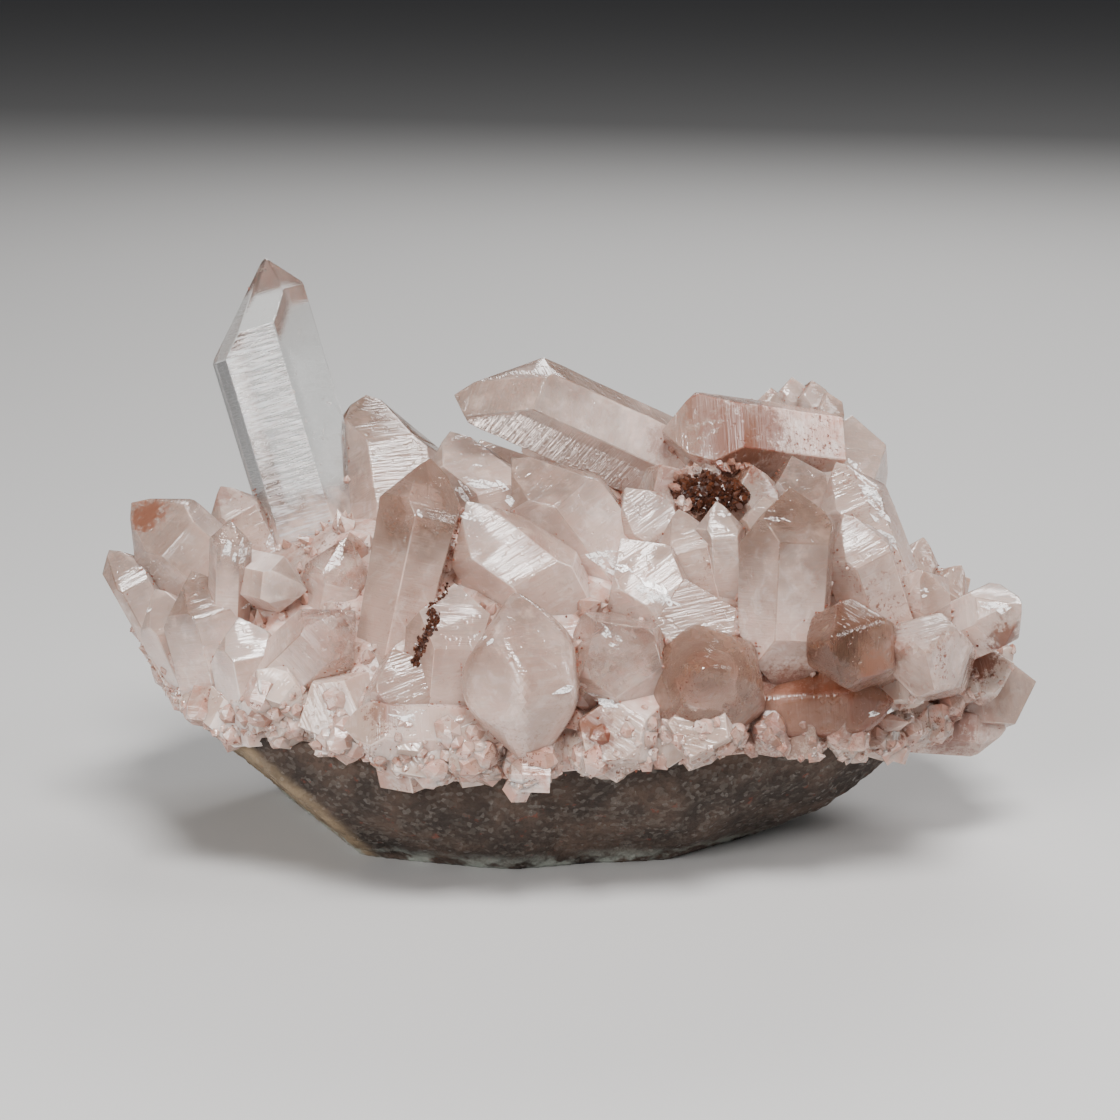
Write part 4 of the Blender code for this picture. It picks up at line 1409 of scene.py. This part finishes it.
@dataclass
class ClearPoint:
    """The tall clear point, fine cross lines cut into its front face, which is flagged for the finish's painted
    highlight.
    """

    crystal: Crystal
    cross_step: float = 0.55
    long_step: float = 1.3
    relief: float = 0.045
    stretch: tuple[float, float, float] = (0.12, 0.12, 1.3)
    front_cosine: float = 0.9

    def build(self, bm: bmesh.types.BMesh) -> bpy.types.Object:
        """Makes the point from its faceted shape."""
        self.crystal.eased(bm)
        rng = random.Random(SEED + 3)
        height = self.crystal.length * 0.2
        while height < self.crystal.length:
            normal = Vector((rng.uniform(-0.02, 0.02), 0.0, 1.0))
            slice_off(bm, Vector((0.0, 0.0, height)), normal, keep=True)
            height += self.cross_step * rng.uniform(0.6, 1.4)
        across = -self.crystal.width * 0.6
        while across < self.crystal.width * 0.6:
            slice_off(bm, Vector((across, 0.0, 0.0)), Vector((1.0, 0.0, 0.0)), keep=True)
            across += self.long_step * rng.uniform(0.7, 1.3)
        turn = math.radians(self.crystal.roll - 90.0)
        front = Vector((math.cos(turn), math.sin(turn), 0.0))
        bm.normal_update()
        # The faces turned to the viewer: they get the relief, and a flag that the finish paints with a painted
        # highlight.
        bright = {face for face in bm.faces if face.normal.dot(front) > self.front_cosine}
        for vert in bm.verts:
            if vert.link_faces and all(face in bright for face in vert.link_faces):
                spot = Vector([c * s for c, s in zip(vert.co, self.stretch)])
                vert.co += front * self.relief * (noise.noise(spot * 4.0) - 0.5)
        indexes = {face.index for face in bright}
        made = self.crystal.mesh("clear_point", bm, 0.5)
        # Habit Z marks those faces for the painted highlight.
        habit = made.attributes["habit"]
        for polygon in made.polygons:
            for corner in polygon.loop_indices:
                habit.data[corner].vector = (0.0, 0.5, 1.0 if polygon.index in indexes else 0.0)
        return new_object("clear_point", made)


@dataclass
class MatrixRock:
    """The brown granular matrix, its surface broken up into grains."""

    voxel: float = 0.00055
    quick_voxel: float = 0.0014
    lumps: tuple = ((3.2, 0.35), (1.3, 0.22), (0.7, 0.12))
    broken_depth: float = 1.1

    def build(self, node: bpy.types.Object) -> bpy.types.Object:
        """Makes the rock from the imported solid.

        Args:
            node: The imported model's matrix.

        Returns:
            The rock.
        """
        rock = new_object("matrix_rock", welded(node.data))
        remesh = rock.modifiers.new("remesh", "REMESH")
        remesh.mode = "VOXEL"
        remesh.voxel_size = self.voxel
        evaluated = rock.evaluated_get(bpy.context.evaluated_depsgraph_get())
        made = bpy.data.meshes.new_from_object(evaluated)
        rock.modifiers.clear()
        rock.data = made
        skin = [(vert.co / MM, vert.normal.copy()) for vert in made.vertices]
        broken, moved = [], []
        for spot, normal in skin:
            depth = min(-(spot - BROKEN_RIDGE).dot(plane) for plane in BROKEN_FACES)
            broken.append(min(max(1.6 - depth / self.broken_depth, 0.0), 1.0))
            push = sum(size * (noise.noise(spot / scale) - 0.6) for scale, size in self.lumps)
            level = 0.0 if normal.z > 0.8 else min(max(spot.z / 0.8, 0.0), 1.0)
            spot = spot + normal * push * level
            moved.extend((spot.x * MM, spot.y * MM, max(spot.z, 0.0) * MM))
        made.vertices.foreach_set("co", moved)
        made.update()
        layer = made.attributes.new("broken", "FLOAT", "POINT")
        layer.data.foreach_set("value", broken)
        made.polygons.foreach_set("use_smooth", [True] * len(made.polygons))
        return rock


@dataclass
class GrainField:
    """Small crystals and grains that sit on the body's skin."""

    skin: Skin
    crust: Skin
    low: Vector
    high: Vector

    def _exposed(self, place: Vector) -> bool:
        """Whether a place on the crust is not covered by a large point."""
        return self.skin.tree.find_nearest(place, 0.6)[0] is not None

    def _inside(self, place: Vector, reach: float) -> bool:
        """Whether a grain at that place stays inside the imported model's box."""
        return all(a + reach < p < b - reach for a, p, b in zip(self.low, place, self.high))

    def skirt(self, count: int, shape: Grown, widths: tuple[float, float], seed: int) -> Swarm:
        """Intergrown crystals round the crust's lower rim.

        Args:
            count: How many places are tried.
            shape: What a crystal is like.
            widths: Least and greatest width, most near the least.
            seed: Chooses the places.

        Returns:
            The crystals.
        """
        rng = random.Random(seed)
        swarm = Swarm(shape)
        for place, normal in self.crust.scatter(count, rng):
            if not 12.0 < place.z < rng.uniform(20.0, 33.0) or normal.z < -0.9:
                continue
            width = widths[0] + (widths[1] - widths[0]) * rng.random() ** 1.7
            if not self._inside(place, width):
                continue
            if rock_shows(place) and place.z < height_of(place.x) + 0.35 * width:
                continue
            axis = (normal + Vector([rng.uniform(-0.7, 0.7) for _ in range(3)])).normalized()
            swarm.add(place - normal * 0.18 * width, axis, width, width * rng.uniform(0.45, 0.85), rng)
        return swarm

    def bare(self, count: int) -> Swarm:
        """Small points on the crust wherever no large one covers it."""
        rng = random.Random(SEED + 4)
        swarm = Swarm(Grown.POINT)
        for place, normal in self.crust.scatter(count, rng, covered=False):
            width = 0.9 + 3.4 * rng.random() ** 2.0
            if normal.z < -0.3 or place.z < 24.0 or not self._inside(place, width) or not self._exposed(place):
                continue
            axis = (normal + Vector([rng.uniform(-0.6, 0.6) for _ in range(3)])).normalized()
            swarm.add(place, axis, width, width * rng.uniform(0.7, 1.4), rng)
        return swarm

    def _bare_rock(self, place: Vector) -> bool:
        """Whether the rock shows at a place where the CAD's crust still reaches down."""
        shows = rock_shows(place) or place.x < ROCK_FREE_LEFT_OF
        return shows and place.z < height_of(place.x) + 0.3

    def crevices(self, count: int, shape: Grown, widths: tuple[float, float], gap: float, seed: int) -> Swarm:
        """Grains that gather where the skin faces itself across a narrow gap.

        Args:
            count: How many places are tried.
            shape: What a grain is like.
            widths: Least and greatest width.
            gap: The widest gap that still holds grains.
            seed: Chooses the places.

        Returns:
            The grains.
        """
        rng = random.Random(seed)
        swarm = Swarm(shape)
        for place, normal in self.skin.scatter(count, rng):
            if not self._inside(place, 1.5) or self._bare_rock(place):
                continue
            slanted = (normal + Vector([rng.uniform(-0.8, 0.8) for _ in range(3)])).normalized()
            if self.skin.room(place, slanted, gap) >= gap * rng.uniform(0.5, 1.0):
                continue
            axis = (normal + Vector([rng.uniform(-0.5, 0.5) for _ in range(3)])).normalized()
            width = rng.uniform(*widths)
            swarm.add(place, axis, width, width * rng.uniform(0.4, 0.9), rng)
        return swarm

    def trail(
        self, way: tuple, count: int, spread: float, widths: tuple[float, float], seed: int,
        shape: Grown = Grown.CHIP,
    ) -> Swarm:
        """Grains along a line that the viewer sees on the skin.

        Args:
            way: Places (across, up) along the line.
            count: How many grains.
            spread: How far they stray from the line.
            widths: Least and greatest width.
            seed: Chooses the places.
            shape: What a grain is like.

        Returns:
            The grains.
        """
        rng = random.Random(seed)
        swarm = Swarm(shape)
        for _ in range(count):
            part = rng.uniform(0.0, len(way) - 1.0)
            k = min(int(part), len(way) - 2)
            share = part - k
            across = way[k][0] + (way[k + 1][0] - way[k][0]) * share + rng.gauss(0.0, spread)
            up = way[k][1] + (way[k + 1][1] - way[k][1]) * share + rng.gauss(0.0, spread)
            place, normal = self.skin.seen(across, up)
            width = rng.uniform(*widths)
            axis = (normal + Vector([rng.uniform(-0.4, 0.4) for _ in range(3)])).normalized()
            swarm.add(place, axis, width, width * (0.5 if shape is Grown.CHIP else 0.9), rng)
        return swarm


@dataclass(frozen=True)
class Glint:
    """A patch of flakes painted as a highlight, where the viewer sees it."""

    across: float
    up: float
    spread: tuple[float, float]
    turn: float
    count: int
    length: tuple[float, float]


@dataclass
class Flakes:
    """Thin white flakes laid on the skin as painted highlights, where cracks just under it throw back the light.
    """

    skin: Skin
    thickness: float = 0.12

    def _shard(
        self, bm: bmesh.types.BMesh, place: Vector, turned: Matrix, shape: tuple, rng: random.Random
    ) -> None:
        """Adds one flake of uneven outline.

        Args:
            bm: The mesh that takes it.
            place: Its middle, in millimetres.
            turned: The way it faces.
            shape: Its length, its width and its turn in its own plane.
            rng: Source of its unevenness.
        """
        length, width, turn = shape
        sides = rng.choice((4, 5, 6))
        spin = Matrix.Rotation(turn, 3, "Z")
        rings = ([], [])
        for k in range(sides):
            angle = 2.0 * math.pi * (k + rng.uniform(-0.35, 0.35)) / sides
            reach = rng.uniform(0.35, 0.6)
            flat = Vector((math.cos(angle) * reach * length, math.sin(angle) * reach * width, 0.0))
            for ring, level in zip(rings, (-0.5, 0.5)):
                lifted = spin @ flat + Vector((0.0, 0.0, level * self.thickness))
                ring.append(bm.verts.new((place + turned @ lifted) * MM))
        bm.faces.new(rings[1])
        bm.faces.new(reversed(rings[0]))
        for k in range(sides):
            after = (k + 1) % sides
            bm.faces.new((rings[0][k], rings[0][after], rings[1][after], rings[1][k]))

    def build(self, glints: tuple[Glint, ...]) -> bpy.types.Mesh:
        """Lays the flakes on the skin.

        Args:
            glints: The patches.

        Returns:
            The flakes as one mesh.
        """
        rng = random.Random(SEED + 10)
        bm = bmesh.new()
        for glint in glints:
            turn = math.radians(glint.turn)
            for _ in range(glint.count):
                u, v = rng.gauss(0.0, glint.spread[0] / 2.0), rng.gauss(0.0, glint.spread[1] / 2.0)
                across = glint.across + u * math.cos(turn) - v * math.sin(turn)
                up = glint.up + u * math.sin(turn) + v * math.cos(turn)
                place, normal = self.skin.seen(across, up)
                length = rng.uniform(*glint.length)
                tilt = normal + Vector([rng.uniform(-0.06, 0.06) for _ in range(3)])
                turned = tilt.to_track_quat("Z", "Y").to_matrix()
                shape = (length, length * rng.uniform(0.2, 0.55), turn + rng.gauss(0.0, 0.2))
                self._shard(bm, place, turned, shape, rng)
        made = bpy.data.meshes.new("bright_flakes")
        bm.normal_update()
        bm.to_mesh(made)
        bm.free()
        return made


@dataclass
class PocketDruse:
    """The brown druse in the pocket: a pad of tiny crystals."""

    grains: int = 900
    widths: tuple[float, float] = (0.3, 1.2)
    sunk: float = 0.62

    def build(self, node: bpy.types.Object) -> bpy.types.Object:
        """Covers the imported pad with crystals.

        Args:
            node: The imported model's druse.

        Returns:
            The druse.
        """
        rng = random.Random(SEED + 6)
        pad = welded(node.data)
        _, forward, _ = viewpoint()
        middle = sum((vert.co for vert in pad.vertices), Vector()) / len(pad.vertices)
        for vert in pad.vertices:
            ahead = (vert.co - middle).dot(forward)
            vert.co -= forward * min(ahead, 0.0) * self.sunk
        skin = Skin(pad)
        swarm = Swarm(Grown.POINT)
        for place, normal in skin.scatter(self.grains, rng):
            width = rng.uniform(*self.widths)
            axis = (normal + Vector([rng.uniform(-0.5, 0.5) for _ in range(3)])).normalized()
            swarm.add(place - normal * 0.25, axis, width, width * 0.9, rng)
        start = len(swarm.points)
        for corner in skin.corners:
            swarm.points.append(corner)
            swarm.rises.append(0.0)
        for triangle in skin.triangles:
            swarm.faces.append([start + i for i in triangle])
            swarm.shades.append(0.1)
        bpy.data.meshes.remove(pad)
        return new_object("pocket_druse_grains", swarm.mesh("pocket_druse_grains"))


@dataclass(frozen=True)
class Lamp:
    """A soft light that shines at the specimen's middle."""

    name: str
    azimuth: float
    elevation: float
    away: float
    size: tuple[float, float]
    power: float
    colour: tuple[float, float, float] = (1.0, 1.0, 1.0)

    def build(self, aim: Vector) -> None:
        """Hangs the light; azimuth 0 is the viewer's side and 90 the right."""
        data = bpy.data.lights.new(self.name, "AREA")
        data.shape = "RECTANGLE"
        data.size, data.size_y = self.size
        data.energy = self.power
        data.color = self.colour
        lamp = bpy.data.objects.new(self.name, data)
        around, climb = math.radians(self.azimuth), math.radians(self.elevation)
        way = Vector((math.sin(around) * math.cos(climb), -math.cos(around) * math.cos(climb), math.sin(climb)))
        lamp.location = aim + way * self.away
        lamp.rotation_euler = way.to_track_quat("Z", "Y").to_euler()
        lamp.visible_camera = False
        bpy.context.scene.collection.objects.link(lamp)


@dataclass
class Studio:
    """A pale floor, soft lights and the camera."""

    floor_size: float = 6.0
    floor_colour: tuple = (0.55, 0.54, 0.53, 1.0)
    world_colour: tuple = (0.036, 0.037, 0.04, 1.0)
    aim: Vector = field(default_factory=lambda: Vector((0.0, 0.0, 0.04)))
    lamps: tuple[Lamp, ...] = (
        Lamp("front_left", -30.0, 24.0, 0.75, (0.24, 0.32), 4.4),
        Lamp("above", 14.0, 62.0, 0.8, (0.3, 0.22), 10.0),
        Lamp("right", 76.0, 30.0, 0.9, (0.2, 0.4), 2.6),
        Lamp("back", 165.0, 35.0, 0.9, (0.7, 0.2), 4.6),
    )

    def build(self) -> None:
        """Sets up floor, world, lights and camera."""
        bm = bmesh.new()
        bmesh.ops.create_grid(bm, x_segments=1, y_segments=1, size=self.floor_size / 2.0)
        made = bpy.data.meshes.new("floor")
        bm.to_mesh(made)
        bm.free()
        bench = Bench("floor")
        made.materials.append(bench.finish(bench.principled(Base_Color=self.floor_colour, Roughness=0.6)))
        floor = new_object("floor", made)
        floor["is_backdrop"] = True
        world = bpy.data.worlds.new("studio")
        world.use_nodes = True
        world.node_tree.nodes["Background"].inputs[0].default_value = self.world_colour
        bpy.context.scene.world = world
        for lamp in self.lamps:
            lamp.build(self.aim)
        eye, _, _ = viewpoint()
        data = bpy.data.cameras.new("camera")
        data.lens = LENS_MM
        data.sensor_width = 36.0
        camera = bpy.data.objects.new("camera", data)
        camera.location = eye * MM
        camera.rotation_euler = (math.pi / 2.0 - LOOK_DOWN, 0.0, 0.0)
        bpy.context.scene.collection.objects.link(camera)
        bpy.context.scene.camera = camera


def within_reach(stains: list, *meshes: bpy.types.Mesh) -> list:
    """Those of the blots that can show on at least one of the meshes."""
    trees = [Skin(mesh).tree for mesh in meshes]
    return [
        (centre, radius, strength) for centre, radius, strength in stains
        if any(tree.find_nearest(centre, radius * STAIN_REACH)[0] is not None for tree in trees)
    ]


def main() -> None:
    """Builds the specimen and its studio."""
    logging.basicConfig(level=logging.INFO, format="%(name)s: %(message)s")
    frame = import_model()
    nodes = frame["nodes"]
    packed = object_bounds()
    low, high = (Vector(corner) / MM for corner in packed)

    crust = Crust()
    rng = random.Random(SEED + 1)
    blocks = {name: (crystal, crystal.block(rng)) for name, crystal in crust.all_points().items()}
    clear, clear_block = blocks.pop("clear_point")

    pocket = welded(nodes["pocket_druse"].data)
    middle = sum((v.co for v in pocket.vertices), Vector()) / len(pocket.vertices)
    pocket.transform(Matrix.Translation(middle) @ Matrix.Scale(1.08, 4) @ Matrix.Translation(-middle))
    quartz = QuartzBody()
    large = {name: blocks.pop(name) for name in list(blocks) if not name.startswith(("small_point", "skirt"))}
    smoky = {name: large.pop(name) for name in list(large) if large[name][0].tone in DARKER}
    body = quartz.build("quartz_body", blocks, crust.mesh(), pocket)
    skin = Skin(welded(nodes["quartz_cluster"].data, nodes["pocket_druse"].data))
    stains = [(skin.seen(s.across, s.up)[0], s.radius, s.strength) for s in QUARTZ_STAINS]
    settle(body, QuartzFinish().material(within_reach(stains, body.data)), "quartz", "quartz_cluster")
    for title, group, finish in (
        ("cloudy_points", large, QuartzFinish("cloudy_quartz", clarity=0.9)),
        ("smoky_points", smoky, QuartzFinish(
            "smoky_quartz", clarity=0.9, absorbs=srgb(196, 164, 142), absorption=36.0,
        )),
    ):
        first = next(iter(group))
        crystal, bm = group.pop(first)
        made = quartz.build(title, group, grown_mesh(first, crystal, bm), pocket, outer_only=False)
        settle(made, finish.material(within_reach(stains, made.data)), "quartz", "quartz_cluster")

    point = ClearPoint(clear).build(clear_block)
    settle(point, ClearFinish().material(), "clear_quartz", "quartz_cluster")

    rock = MatrixRock().build(nodes["matrix"])
    settle(rock, RockFinish().material(), "matrix_rock", "matrix")

    druse = PocketDruse().build(nodes["pocket_druse"])
    brown = GrainFinish("brown_druse", srgb(36, 17, 12), srgb(84, 46, 29), 0.12).material()
    settle(druse, brown, "iron_druse", "pocket_druse")

    flakes = Flakes(skin).build(tuple(Glint(*row[1:]) for row in GLINTS))
    settle(new_object("bright_flakes", flakes), FlakeFinish().material(), "quartz")

    grains = GrainField(skin, Skin(body.data), low, high)
    druses = {
        "skirt_druse": grains.skirt(8000, Grown.LUMP, (0.9, 5.8), SEED + 5),
        "skirt_sugar": grains.skirt(14000, Grown.POINT, (0.5, 1.7), SEED + 14),
        "crust_points": grains.bare(1500),
        "crevice_druse": grains.crevices(3000, Grown.POINT, (0.4, 1.3), 1.5, SEED + 7),
        "pocket_rim": grains.trail(POCKET_RIM, 40, 0.35, (1.0, 2.0), SEED + 12, Grown.POINT),
        "pocket_sill": grains.trail(POCKET_SILL, 12, 0.3, (0.9, 1.8), SEED + 13, Grown.POINT),
    }
    meshes = {name: swarm.mesh(name) for name, swarm in druses.items()}
    sugar = QuartzFinish("sugar_druse", milk=srgb(212, 182, 170), scatter=0.0012, specks=2.4)
    sugary = sugar.material(within_reach(stains, *meshes.values()))
    for name, made in meshes.items():
        settle(new_object(name, made), sugary, "quartz")
    rust = GrainFinish("rust_grains", srgb(98, 46, 32), srgb(150, 84, 56), 0.35).material()
    for name, swarm, finish in (
        ("rust_grains", grains.crevices(42000, Grown.CHIP, (0.16, 0.5), 1.6, SEED + 8), rust),
        ("brown_vein", grains.trail(VEIN, 260, 0.34, (0.3, 0.9), SEED + 9), brown),
        ("brown_thread", grains.trail(THREAD, 60, 0.16, (0.2, 0.55), SEED + 11), brown),
    ):
        settle(new_object(name, swarm.mesh(name)), finish, "iron_druse")

    Studio().build()


if __name__ == "__main__":
    main()
